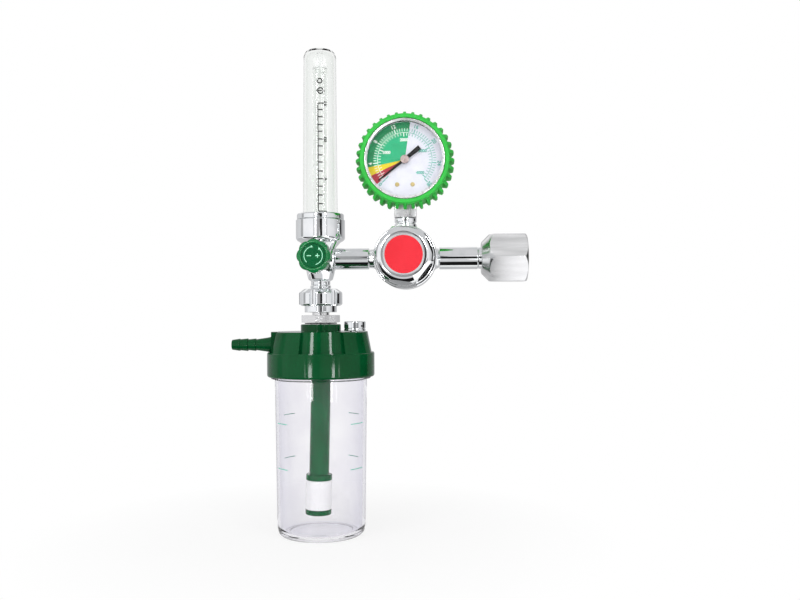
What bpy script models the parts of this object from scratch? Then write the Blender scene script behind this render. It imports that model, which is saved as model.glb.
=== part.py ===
"""Oxygen flowmeter set: cylinder regulator, pressure gauge, flow tube and humidifier bottle.

Metres, +Z up. The origin is the centre of the inlet nut's mouth. +X points to the cylinder
valve, and the dial, the bonnet and the knob face -Y.
"""
import math

import bmesh
import bpy
from mathutils import Matrix, Vector

# Space kept between pieces that seat on each other
GAP = 0.0003

# How finely round pieces are divided
FINE = 24
ROUND = 20
HEXED = 18
MIDDLE = 12
SMALL = 12
TINY = 8

# Inlet nut, which draws the nipple onto the cylinder valve
NUT_FLATS = 0.0300
NUT_LENGTH = 0.0292
NUT_BORE_RADIUS = 0.0106
NUT_BORE_DEPTH = 0.0200
NUT_CHAMFER = 0.0018

# Inlet nipple, its ring and its filter
NIPPLE_STEM_RADIUS = 0.0069
NIPPLE_COLLAR_LENGTH = 0.0035
NIPPLE_SETBACK = 0.0062
NOSE_RADIUS = 0.0078
NOSE_TIP_RADIUS = 0.0054
SLEEVE_SHOWING = 0.0020
ORING_SECTION = 0.0008
FILTER_RADIUS = 0.0027
FILTER_LENGTH = 0.0050

# Spigots that join the tubes to the forgings, and the gas bore through them
SPIGOT_RADIUS = 0.0045
SPIGOT_LENGTH = 0.0090
GAS_BORE = 0.0025

# Inlet and outlet tubes
INLET_TUBE_RADIUS = 0.00715
INLET_TUBE_LENGTH = 0.0247
OUTLET_TUBE_RADIUS = 0.00685
OUTLET_TUBE_LENGTH = 0.0217
TUBE_EDGE = 0.0004

# Regulator body
BODY_RADIUS = 0.0200
BODY_FRONT = 0.0185
BODY_BACK = 0.0170
INLET_BOSS_REACH = 0.0214
INLET_BOSS_RADIUS = 0.0063
OUTLET_BOSS_REACH = 0.0234
OUTLET_BOSS_RADIUS = 0.00595
TOP_BOSS_REACH = 0.0259
TOP_BOSS_RADIUS = 0.0071
BOSS_FLARE = 0.0020
CHAMBER_RADIUS = 0.0143
CHAMBER_FLOOR = 0.0080
VALVE_BORE_RADIUS = 0.0065
VALVE_BORE_FLOOR = 0.0055
ORIFICE_RADIUS = 0.0017

# Bonnet, with its adjusting screw and the round plate on its face
BONNET_FLATS = 0.0320
BONNET_TURN = math.radians(-8.0)
BONNET_FLANGE_RADIUS = 0.0185
BONNET_FLANGE_LENGTH = 0.0035
BONNET_LENGTH = 0.0272
BONNET_FACE_RADIUS = 0.0146
BONNET_SKIRT_LENGTH = 0.0038
BONNET_WALL = 0.0065
SPRING_ROOM_RADIUS = 0.0106
LABEL_RADIUS = 0.0115
LABEL_THICKNESS = 0.0005
SCREW_RADIUS = 0.0060

# Piston, springs and poppet
PISTON_THICKNESS = 0.0045
PISTON_SETBACK = 0.0006
PISTON_SEAL_SECTION = 0.0007
PUSH_PIN_RADIUS = 0.0012
SPRING_GUIDE_RADIUS = 0.0062
SPRING_GUIDE_LENGTH = 0.0019
MAIN_SPRING_RADIUS = 0.0075
MAIN_SPRING_WIRE = 0.0008
MAIN_SPRING_TURNS = 3
BUTTON_THICKNESS = 0.0015
SEAT_THICKNESS = 0.0020
POPPET_LIFT = 0.0010
POPPET_RADIUS = 0.0036
POPPET_THICKNESS = 0.0044
POPPET_STEM_RADIUS = 0.0020
POPPET_STEM_LENGTH = 0.0095
POPPET_SPRING_RADIUS = 0.0030
POPPET_SPRING_WIRE = 0.00035
POPPET_SPRING_TURNS = 3
PLUG_FLATS = 0.0170
PLUG_HEAD = 0.0052
PLUG_REACH = 0.0075

# Gauge: square shank and block, case, bezel and window
SHANK_WIDTH = 0.0140
SHANK_LENGTH = 0.0104
SHANK_NECK_RADIUS = 0.0046
CASE_RADIUS = 0.0255
CASE_WALL = 0.0009
CASE_BACK = 0.0120
CASE_FRONT = 0.0123
BEZEL_LENGTH = 0.0036
BEZEL_LIP = 0.0016
WINDOW_THICKNESS = 0.0016
DIAL_THICKNESS = 0.0004
DIAL_HEIGHT = 0.0098
DIAL_SCREW_SPACING = 0.0098
DIAL_SCREW_DROP = 0.0158
DIAL_SCREW_RADIUS = 0.0014
BLOCK_WIDTH = 0.0138
BLOCK_BACK = 0.0040
LUG_WIDTH = 0.0120
LUG_HEIGHT = 0.0047

# Gauge movement: plates, pinion, sector, link and tube
PLATE_THICKNESS = 0.0008
PLATE_GAP = 0.0060
PLATE_LEFT = 0.0080
PLATE_RIGHT = 0.0092
PLATE_TOP = 0.0052
PILLAR_INSET = 0.0016
PILLAR_RADIUS = 0.0012
SHAFT_RADIUS = 0.0007
PINION_TEETH = 8
SECTOR_TEETH_FULL = 64
SECTOR_TEETH = 9
GEAR_MODULE = 1.0 / 3000.0
GEAR_FACE = 0.0012
SECTOR_BEARING = math.radians(-75.0)
SECTOR_TAIL_LENGTH = 0.0058
SECTOR_TAIL_BEARING = math.radians(12.0)
LINK_THICKNESS = 0.0007
LINK_HALF_WIDTH = 0.0014
LINK_PIN_RADIUS = 0.0004
TUBE_ARC_RADIUS = 0.0180
TUBE_ARC_END = math.radians(244.5)
TUBE_SECTION_DEPTH = 0.0070
TUBE_SECTION_WIDTH = 0.0025
TUBE_WALL = 0.0003

# Pointer
POINTER_REST = math.radians(218.5)
POINTER_LENGTH = 0.0205
POINTER_TAIL = 0.0095
POINTER_TAIL_WIDTH = 0.0030
POINTER_TIP_WIDTH = 0.0005
POINTER_HUB_RADIUS = 0.00265
POINTER_THICKNESS = 0.0004

# Rubber boot round the gauge
BOOT_WALL = 0.0030
BOOT_TOOTH_HEIGHT = 0.0037
BOOT_RING_RADIUS = CASE_RADIUS + BOOT_WALL
BOOT_TIP_RADIUS = BOOT_RING_RADIUS + BOOT_TOOTH_HEIGHT
BOOT_TEETH = 36
BOOT_RING_LENGTH = 0.0039
BOOT_TEETH_LENGTH = 0.0235
BOOT_BACK_THICKNESS = 0.0020
BOOT_BACK_LIP = 0.0065
BOOT_BACK_OPENING = CASE_RADIUS - BOOT_BACK_LIP
BOOT_EDGE = 0.0008
BOOT_FOOT_CUT = 0.0055

# Flow body
FLOW_BOSS_REACH = 0.0096
FLOW_BOSS_RADIUS = 0.0075
FLOW_WAIST_RADIUS = 0.00925
FLOW_CUP_RADIUS = 0.01585
FLOW_CUP_TOP = 0.0253
FLOW_CUP_FLOOR = 0.0103
FLOW_CUP_LEDGE = 0.0134
FLOW_WELL_RADIUS = 0.0098
FLOW_CUP_WALL = 0.00245
FLOW_NECK_RADIUS = 0.0062
FLOW_BOTTOM = 0.0168
VALVE_BOSS_REACH = 0.0145
VALVE_BOSS_RADIUS = 0.0080
VALVE_CHAMBER_RADIUS = 0.0040
VALVE_SEAT_HEIGHT = 0.0033
VALVE_ORIFICE_RADIUS = 0.0012
RISER_RADIUS = 0.0016

# Flow tube
COVER_RADIUS = 0.01125
COVER_TOP_RADIUS = 0.01045
COVER_WALL = 0.0019
COVER_SHOULDER = 0.1329
COVER_TOP = 0.1374
COVER_FLANGE_RADIUS = 0.0129
COVER_FLANGE_THICKNESS = 0.0026
COLLAR_RADIUS = 0.0152
COLLAR_HEIGHT = 0.0038
FOOT_RADIUS = 0.0065
FOOT_THICKNESS = 0.0014
FOOT_SPIGOT = 0.0026
METER_RADIUS = 0.0047
METER_BORE = 0.00305
METER_TOP_BORE = 0.0034
METER_TOP = 0.1240
BALL_RADIUS = 0.0027
PLUG_FLANGE_THICKNESS = 0.0017
PLUG_SPIGOT_LENGTH = 0.0045

# Needle valve and knob
STEM_RADIUS = 0.0020
STEM_CONE_LENGTH = 0.0035
STEM_TIP_HEIGHT = 0.0021
GLAND_FLATS = 0.0130
GLAND_LENGTH = 0.0065
KNOB_RADIUS = 0.01045
KNOB_LOBES = 8
KNOB_LOBE_DEPTH = 0.0011
KNOB_BACK = 0.0250
KNOB_LENGTH = 0.0130
KNOB_RIM = 0.0011
KNOB_DISC_RADIUS = 0.0073
KNOB_DISC_THICKNESS = 0.0004

# Coupling between the flow body and the humidifier
NIPPLE_RING_RADIUS = 0.00665
NIPPLE_RING_LENGTH = 0.0019
NIPPLE_NECK_RADIUS = 0.0055
NIPPLE_FLANGE_RADIUS = 0.0083
NIPPLE_FLANGE_LENGTH = 0.0028
NIPPLE_NOSE_LENGTH = 0.0024
COUPLING_RADIUS = 0.01375
COUPLING_LOBES = 8
COUPLING_LOBE_DEPTH = 0.0019
COUPLING_WALL = 0.0035
COUPLING_FLUTES_LENGTH = 0.0110
COUPLING_LENGTH = 0.0152
COUPLING_COLLAR_RADIUS = 0.0104
COUPLING_ROOM_RADIUS = 0.0089
INSERT_FLATS = 0.0224
INSERT_TURN = math.radians(-13.0)
INSERT_HEX_LENGTH = 0.0047
INSERT_NECK_LENGTH = 0.0018
INSERT_SHANK_RADIUS = 0.0065
INSERT_SHANK_LENGTH = 0.0109
GASKET_THICKNESS = 0.0006

# Lid of the humidifier, with its hose barb
LID_BOSS_RADIUS = 0.01295
LID_BOSS_HEIGHT = 0.0047
LID_SKIRT_RADIUS = 0.03465
LID_SKIRT_WALL = 0.0044
LID_TIER_FOOT_RADIUS = LID_SKIRT_RADIUS - 0.00035
LID_TIER_DRAFT = 0.0031
LID_TIER_RADIUS = LID_TIER_FOOT_RADIUS - LID_TIER_DRAFT
LID_TIER_HEIGHT = 0.0136
LID_SKIRT_HEIGHT = 0.0154
LID_CEILING = 0.0035
LID_RECESSES = 4
LID_RECESS_ANGLE = math.radians(50.0)
LID_RECESS_DEPTH = 0.0042
LID_INNER_BOSS_RADIUS = 0.0095
LID_INNER_BOSS_HEIGHT = 0.0115
BARB_DROP = 0.0084
BARB_LENGTH = 0.0267
BARB_STEP_LENGTH = 0.0052
BARB_RADIUS = 0.0041
BARB_BORE = 0.0018

# Relief valve on the lid
RELIEF_OFFSET = (LID_BOSS_RADIUS + LID_TIER_RADIUS) / 2
RELIEF_CAP_RADIUS = 0.0070
RELIEF_CAP_HEIGHT = 0.0062
RELIEF_STEM_RADIUS = 0.0035
RELIEF_FLANGE_RADIUS = 0.0046
RELIEF_FLANGE_HEIGHT = 0.0018
RELIEF_POPPET_RADIUS = 0.0034
RELIEF_POPPET_THICKNESS = 0.0010
RELIEF_SPRING_RADIUS = 0.0019
RELIEF_SPRING_WIRE = 0.00022
RELIEF_SPRING_TURNS = 2
VENT_RADIUS = 0.00065
VENTS = 2

# Bottle, dip tube and diffuser
BOTTLE_RADIUS = LID_SKIRT_RADIUS - LID_SKIRT_WALL - 2 * GAP
BOTTLE_TAPER = 0.0013
BOTTLE_BASE_RADIUS = BOTTLE_RADIUS - BOTTLE_TAPER
BOTTLE_WALL = 0.0019
BOTTLE_HEIGHT = 0.1160
BOTTLE_BASE = 0.0040
DIP_RADIUS = 0.0064
DIP_BORE = 0.0046
DIP_LENGTH = 0.0863
DIP_COLLAR_RADIUS = 0.00865
DIP_COLLAR_LENGTH = 0.0050
DIFFUSER_LENGTH = 0.0176
DIFFUSER_CAP_RADIUS = 0.0088
DIFFUSER_CAP_LENGTH = 0.0045
PIN_FIT = 0.0062

# Places along the horizontal run, from the nut's mouth to the left
SLEEVE_END = -(NUT_LENGTH + SLEEVE_SHOWING)
INLET_TUBE_RIGHT = SLEEVE_END - GAP
INLET_TUBE_LEFT = INLET_TUBE_RIGHT - INLET_TUBE_LENGTH
REGULATOR_X = INLET_TUBE_LEFT - GAP - INLET_BOSS_REACH
OUTLET_TUBE_RIGHT = REGULATOR_X - OUTLET_BOSS_REACH - GAP
OUTLET_TUBE_LEFT = OUTLET_TUBE_RIGHT - OUTLET_TUBE_LENGTH
FLOW_X = OUTLET_TUBE_LEFT - GAP - FLOW_BOSS_REACH

# Places up the gauge
SHANK_BOTTOM = TOP_BOSS_REACH + GAP
SHANK_TOP = SHANK_BOTTOM + SHANK_LENGTH
GAUGE_Z = SHANK_TOP + GAP + CASE_RADIUS

# Places down the humidifier's axis
NIPPLE_RING_TOP = -FLOW_BOTTOM - GAP
NIPPLE_RING_BOTTOM = NIPPLE_RING_TOP - NIPPLE_RING_LENGTH
COUPLING_TOP = NIPPLE_RING_BOTTOM - GAP
NIPPLE_FLANGE_TOP = COUPLING_TOP - COUPLING_WALL - GAP
NIPPLE_FLANGE_BOTTOM = NIPPLE_FLANGE_TOP - NIPPLE_FLANGE_LENGTH
NIPPLE_END = NIPPLE_FLANGE_BOTTOM - NIPPLE_NOSE_LENGTH
COUPLING_BOTTOM = COUPLING_TOP - COUPLING_LENGTH
INSERT_HEX_TOP = COUPLING_BOTTOM - INSERT_NECK_LENGTH
INSERT_HEX_BOTTOM = INSERT_HEX_TOP - INSERT_HEX_LENGTH
LID_TOP = INSERT_HEX_BOTTOM - GASKET_THICKNESS - 2 * GAP
LID_SHOULDER = LID_TOP - LID_BOSS_HEIGHT
LID_STEP = LID_SHOULDER - LID_TIER_HEIGHT
LID_BOTTOM = LID_STEP - LID_SKIRT_HEIGHT
LID_BORE = INSERT_SHANK_RADIUS + GAP
LID_LEDGE = LID_STEP + 2 * GAP
BOTTLE_TOP = LID_LEDGE - GASKET_THICKNESS - 3 * GAP
BOTTLE_BOTTOM = BOTTLE_TOP - BOTTLE_HEIGHT
INSERT_BOTTOM = INSERT_HEX_BOTTOM - INSERT_SHANK_LENGTH
DIP_TOP = INSERT_BOTTOM - 2 * GAP
DIP_COLLAR_TOP = DIP_TOP - DIP_LENGTH
DIP_COLLAR_BOTTOM = DIP_COLLAR_TOP - DIP_COLLAR_LENGTH
DIFFUSER_TOP = DIP_COLLAR_BOTTOM - GAP
DIFFUSER_BOTTOM = DIFFUSER_TOP - DIFFUSER_LENGTH
DIFFUSER_CAP_TOP = DIFFUSER_BOTTOM - GAP

# Places along the regulator's axis, counted towards the viewer
BONNET_BACK = BODY_FRONT + GAP
BONNET_HEX_BACK = BONNET_BACK + BONNET_FLANGE_LENGTH
BONNET_FACE = BONNET_BACK + BONNET_LENGTH
PISTON_BACK = CHAMBER_FLOOR + PISTON_SETBACK
PISTON_FRONT = PISTON_BACK + PISTON_THICKNESS
LABEL_FLOOR = BONNET_FACE - LABEL_THICKNESS - GAP
SPRING_ROOM_TOP = BONNET_FACE - BONNET_WALL
BUTTON_FRONT = SPRING_ROOM_TOP - 3 * GAP
BUTTON_BACK = BUTTON_FRONT - BUTTON_THICKNESS
SEAT_FRONT = VALVE_BORE_FLOOR - GAP
SEAT_BACK = SEAT_FRONT - SEAT_THICKNESS
POPPET_FACE = SEAT_BACK - POPPET_LIFT - GAP
POPPET_BACK = POPPET_FACE - POPPET_THICKNESS
PLUG_FACE = -BODY_BACK + PLUG_REACH

# Places along the gauge's axis, counted towards the viewer
BEZEL_BACK = CASE_FRONT + GAP
BEZEL_FRONT = BEZEL_BACK + BEZEL_LENGTH
WINDOW_FRONT = BEZEL_FRONT - 0.0009 - GAP
DIAL_FRONT = DIAL_HEIGHT + DIAL_THICKNESS
REAR_PLATE_FRONT = PLATE_THICKNESS
FRONT_PLATE_BACK = REAR_PLATE_FRONT + PLATE_GAP
GEAR_MID = REAR_PLATE_FRONT + PLATE_GAP / 2
PINION_RADIUS = PINION_TEETH * GEAR_MODULE / 2
SECTOR_RADIUS = SECTOR_TEETH_FULL * GEAR_MODULE / 2
SECTOR_X = (PINION_RADIUS + SECTOR_RADIUS) * math.cos(SECTOR_BEARING)
SECTOR_Z = (PINION_RADIUS + SECTOR_RADIUS) * math.sin(SECTOR_BEARING)
BLOCK_TOP = -DIAL_SCREW_DROP + DIAL_SCREW_RADIUS + GAP
POINTER_HUB_BACK = DIAL_FRONT + 0.0010
POINTER_HUB_FRONT = POINTER_HUB_BACK + 0.0014

# Which way a piece's own Z axis looks: up, to the viewer, or to the cylinder valve
FACING = {
    "up": Matrix.Identity(4),
    "front": Matrix.Rotation(math.radians(90), 4, "X"),
    "right": Matrix.Rotation(math.radians(90), 4, "Y"),
}

# Colour, roughness, metallic value and alpha of each finish
LOOKS = {
    "chrome": ((0.82, 0.83, 0.84), 0.08, 1.0, 1.0),
    "satin_nickel": ((0.62, 0.62, 0.62), 0.35, 1.0, 1.0),
    "brass": ((0.72, 0.55, 0.28), 0.25, 1.0, 1.0),
    "steel": ((0.55, 0.56, 0.58), 0.25, 1.0, 1.0),
    "lid_green": ((0.01, 0.13, 0.05), 0.28, 0.0, 1.0),
    "knob_green": ((0.00, 0.16, 0.05), 0.30, 0.0, 1.0),
    "boot_green": ((0.02, 0.55, 0.06), 0.45, 0.0, 1.0),
    "clear": ((0.90, 0.91, 0.93), 0.05, 0.0, 0.3),
    "dial_white": ((0.80, 0.80, 0.86), 0.40, 0.0, 1.0),
    "label_red": ((0.85, 0.04, 0.05), 0.40, 0.0, 1.0),
    "black": ((0.02, 0.02, 0.02), 0.40, 0.0, 1.0),
    "white": ((0.85, 0.85, 0.84), 0.70, 0.0, 1.0),
}


def clear_scene():
    for thing in list(bpy.data.objects):
        bpy.data.objects.remove(thing, do_unlink=True)


def material_for(piece_name, look):
    colour, roughness, metallic, alpha = LOOKS[look]
    finish = bpy.data.materials.new(piece_name)
    finish.use_nodes = True
    shader = finish.node_tree.nodes["Principled BSDF"]
    shader.inputs["Base Color"].default_value = (*colour, 1.0)
    shader.inputs["Roughness"].default_value = roughness
    shader.inputs["Metallic"].default_value = metallic
    shader.inputs["Alpha"].default_value = alpha
    finish.diffuse_color = (*colour, alpha)
    return finish


def turned(outline, divisions, turn=math.tau, start=0.0):
    """Turn a closed outline of (radius, height) points about Z into one closed body."""
    bm = bmesh.new()
    corners = [bm.verts.new((radius, 0.0, height)) for radius, height in outline]
    for first, second in zip(corners, corners[1:] + corners[:1]):
        if first.co.x > 0 or second.co.x > 0:
            bm.edges.new((first, second))
    whole = abs(turn - math.tau) < 1e-9
    bmesh.ops.spin(bm, geom=bm.verts[:] + bm.edges[:], cent=(0, 0, 0), axis=(0, 0, 1),
                   angle=turn, steps=divisions, use_merge=whole, use_duplicate=False)
    bmesh.ops.remove_doubles(bm, verts=bm.verts[:], dist=1e-6)
    if not whole:
        bmesh.ops.holes_fill(bm, edges=bm.edges[:], sides=0)
    bmesh.ops.rotate(bm, verts=bm.verts[:], cent=(0, 0, 0), matrix=Matrix.Rotation(start, 3, "Z"))
    bmesh.ops.recalc_face_normals(bm, faces=bm.faces[:])
    return bm


def rod(radius, low, high, divisions, start=0.0):
    """A plain round bar about Z."""
    return turned([(0, low), (radius, low), (radius, high), (0, high)], divisions, math.tau, start)


def ring(inner, outer, low, high, divisions):
    """A plain flat ring about Z."""
    return turned([(inner, low), (outer, low), (outer, high), (inner, high)], divisions)


def round_ring(radius, section, height, divisions):
    """A ring with a round section, such as a rubber seal."""
    sides = 6
    outline = []
    for step in range(sides):
        angle = math.tau * (step + 0.5) / sides
        outline.append((radius + section * math.cos(angle), height + section * math.sin(angle)))
    return turned(outline, divisions)


def prism(outline, low, high):
    """Extrude a closed outline of (x, y) points along Z."""
    bm = bmesh.new()
    face = bm.faces.new([bm.verts.new((x, y, low)) for x, y in outline])
    grown = bmesh.ops.extrude_face_region(bm, geom=[face])["geom"]
    moved = [item for item in grown if isinstance(item, bmesh.types.BMVert)]
    bmesh.ops.translate(bm, vec=(0, 0, high - low), verts=moved)
    bmesh.ops.recalc_face_normals(bm, faces=bm.faces[:])
    return bm


def block(left, right, near, far, low, high):
    """A box between two x, two y and two z values."""
    return prism([(left, near), (right, near), (right, far), (left, far)], low, high)


def across_flats(flats, turn=0.0, sides=6):
    """The corners of a regular polygon of a given width across its flats."""
    radius = flats / 2 / math.cos(math.pi / sides)
    angles = [turn + math.tau * step / sides for step in range(sides)]
    return [(radius * math.cos(angle), radius * math.sin(angle)) for angle in angles]


def lobed(radius, depth, lobes, points_each):
    """A round outline with full lobes that meet in narrow valleys."""
    outline = []
    for step in range(lobes * points_each):
        angle = math.tau * step / (lobes * points_each)
        fullness = abs(math.cos(lobes * angle / 2))
        reach = radius - depth * (1 - fullness)
        outline.append((reach * math.cos(angle), reach * math.sin(angle)))
    return outline


def as_mesh(bm, name, facing):
    bm.transform(FACING[facing])
    mesh = bpy.data.meshes.new(name)
    bm.to_mesh(mesh)
    bm.free()
    mesh.shade_smooth()
    mesh.set_sharp_from_angle(angle=math.radians(32))
    return mesh


def piece(name, bm, facing, place, look):
    """One named piece of the object, with its origin on its own axis."""
    mesh = as_mesh(bm, name, facing)
    mesh.materials.append(material_for(name, look))
    thing = bpy.data.objects.new(name, mesh)
    thing.location = place
    bpy.context.collection.objects.link(thing)
    return thing


def shape(thing, operation, bm, facing, place):
    """Unite a body with the piece, cut it away, or keep only what both share."""
    count = len(thing.modifiers)
    name = f"{thing.name}_tool_{count}"
    tool = bpy.data.objects.new(name, as_mesh(bm, name, facing))
    tool.location = place
    tool.hide_render = True
    tool.display_type = "WIRE"
    bpy.context.collection.objects.link(tool)
    change = thing.modifiers.new(f"{operation.lower()}_{count}", "BOOLEAN")
    change.operation = operation
    change.solver = "EXACT"
    change.object = tool


def coil(name, radius, wire, turns, low, high, facing, place, look):
    """A coil spring between two heights, made of one round wire."""
    points_each = 8
    count = turns * points_each + 1
    path = bpy.data.curves.new(name, "CURVE")
    path.dimensions = "3D"
    path.bevel_depth = wire
    path.bevel_resolution = 0
    path.use_fill_caps = True
    path.resolution_u = 1
    path.render_resolution_u = 0
    strand = path.splines.new("POLY")
    strand.points.add(count - 1)
    for step, point in enumerate(strand.points):
        angle = math.tau * step / points_each
        rise = (step / (count - 1)) * (high - low - 2 * wire) + low + wire
        place_now = FACING[facing] @ Vector((radius * math.cos(angle), radius * math.sin(angle), rise))
        point.co = (*place_now, 1.0)
    path.materials.append(material_for(name, look))
    thing = bpy.data.objects.new(name, path)
    thing.location = place
    bpy.context.collection.objects.link(thing)
    return thing


def chamfered(flats, low, high, chamfer):
    """The (radius, height) outside of a hexagon whose corners are turned back at both ends."""
    corner = flats / 2 / math.cos(math.pi / 6) + GAP
    end = flats / 2 - GAP
    return [(end, low), (corner, low + chamfer), (corner, high - chamfer), (end, high)]


def build_inlet():
    mouth = (0, 0, 0)
    back_bore = NIPPLE_STEM_RADIUS + GAP
    nut = piece("inlet_nut", prism(across_flats(NUT_FLATS, math.radians(90)), -NUT_LENGTH, 0),
                "right", mouth, "satin_nickel")
    nut_outline = [(back_bore, -NUT_LENGTH)] + chamfered(NUT_FLATS, -NUT_LENGTH, 0, NUT_CHAMFER)
    nut_outline += [(NUT_BORE_RADIUS, 0), (NUT_BORE_RADIUS, -NUT_BORE_DEPTH),
                    (back_bore, -NUT_BORE_DEPTH)]
    shape(nut, "INTERSECT", turned(nut_outline, HEXED, math.tau, math.radians(90)), "right", mouth)

    collar_back = -NUT_BORE_DEPTH + GAP
    collar_front = collar_back + NIPPLE_COLLAR_LENGTH
    collar_radius = NUT_BORE_RADIUS - 2 * GAP
    tip = -NIPPLE_SETBACK
    groove_front = tip - 0.0046
    groove_back = groove_front - 2 * ORING_SECTION - 2 * GAP
    groove_floor = NOSE_RADIUS - 2 * ORING_SECTION + GAP
    filter_back = tip - FILTER_LENGTH - GAP
    nipple = [(GAS_BORE, SLEEVE_END - SPIGOT_LENGTH), (SPIGOT_RADIUS, SLEEVE_END - SPIGOT_LENGTH),
              (SPIGOT_RADIUS, SLEEVE_END), (NIPPLE_STEM_RADIUS, SLEEVE_END),
              (NIPPLE_STEM_RADIUS, collar_back), (collar_radius, collar_back),
              (collar_radius, collar_front), (NOSE_RADIUS, collar_front),
              (NOSE_RADIUS, groove_back), (groove_floor, groove_back),
              (groove_floor, groove_front), (NOSE_RADIUS, groove_front),
              (NOSE_RADIUS, tip - 0.0030), (NOSE_TIP_RADIUS, tip),
              (FILTER_RADIUS + GAP, tip), (FILTER_RADIUS + GAP, filter_back),
              (GAS_BORE, filter_back)]
    piece("inlet_nipple", turned(nipple, SMALL), "right", mouth, "chrome")
    seal_radius = groove_floor + GAP + ORING_SECTION
    piece("inlet_oring", round_ring(seal_radius, ORING_SECTION, (groove_back + groove_front) / 2,
                                    SMALL), "right", mouth, "black")
    piece("inlet_filter", rod(FILTER_RADIUS, filter_back + GAP, tip - GAP, SMALL),
          "right", mouth, "brass")

    socket = SLEEVE_END - SPIGOT_LENGTH - GAP
    tube = [(GAS_BORE, INLET_TUBE_LEFT - SPIGOT_LENGTH), (SPIGOT_RADIUS, INLET_TUBE_LEFT - SPIGOT_LENGTH),
            (SPIGOT_RADIUS, INLET_TUBE_LEFT), (INLET_TUBE_RADIUS - TUBE_EDGE, INLET_TUBE_LEFT),
            (INLET_TUBE_RADIUS, INLET_TUBE_LEFT + TUBE_EDGE),
            (INLET_TUBE_RADIUS, INLET_TUBE_RIGHT - TUBE_EDGE),
            (INLET_TUBE_RADIUS - TUBE_EDGE, INLET_TUBE_RIGHT),
            (SPIGOT_RADIUS + GAP, INLET_TUBE_RIGHT), (SPIGOT_RADIUS + GAP, socket), (GAS_BORE, socket)]
    piece("inlet_tube", turned(tube, MIDDLE), "right", mouth, "chrome")


def build_outlet_tube():
    left = OUTLET_TUBE_LEFT
    right = OUTLET_TUBE_RIGHT
    tube = [(GAS_BORE, left - SPIGOT_LENGTH / 2), (SPIGOT_RADIUS, left - SPIGOT_LENGTH / 2),
            (SPIGOT_RADIUS, left), (OUTLET_TUBE_RADIUS - TUBE_EDGE, left),
            (OUTLET_TUBE_RADIUS, left + TUBE_EDGE), (OUTLET_TUBE_RADIUS, right - TUBE_EDGE),
            (OUTLET_TUBE_RADIUS - TUBE_EDGE, right), (SPIGOT_RADIUS, right),
            (SPIGOT_RADIUS, right + SPIGOT_LENGTH), (GAS_BORE, right + SPIGOT_LENGTH)]
    piece("outlet_tube", turned(tube, MIDDLE), "right", (0, 0, 0), "chrome")


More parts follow.
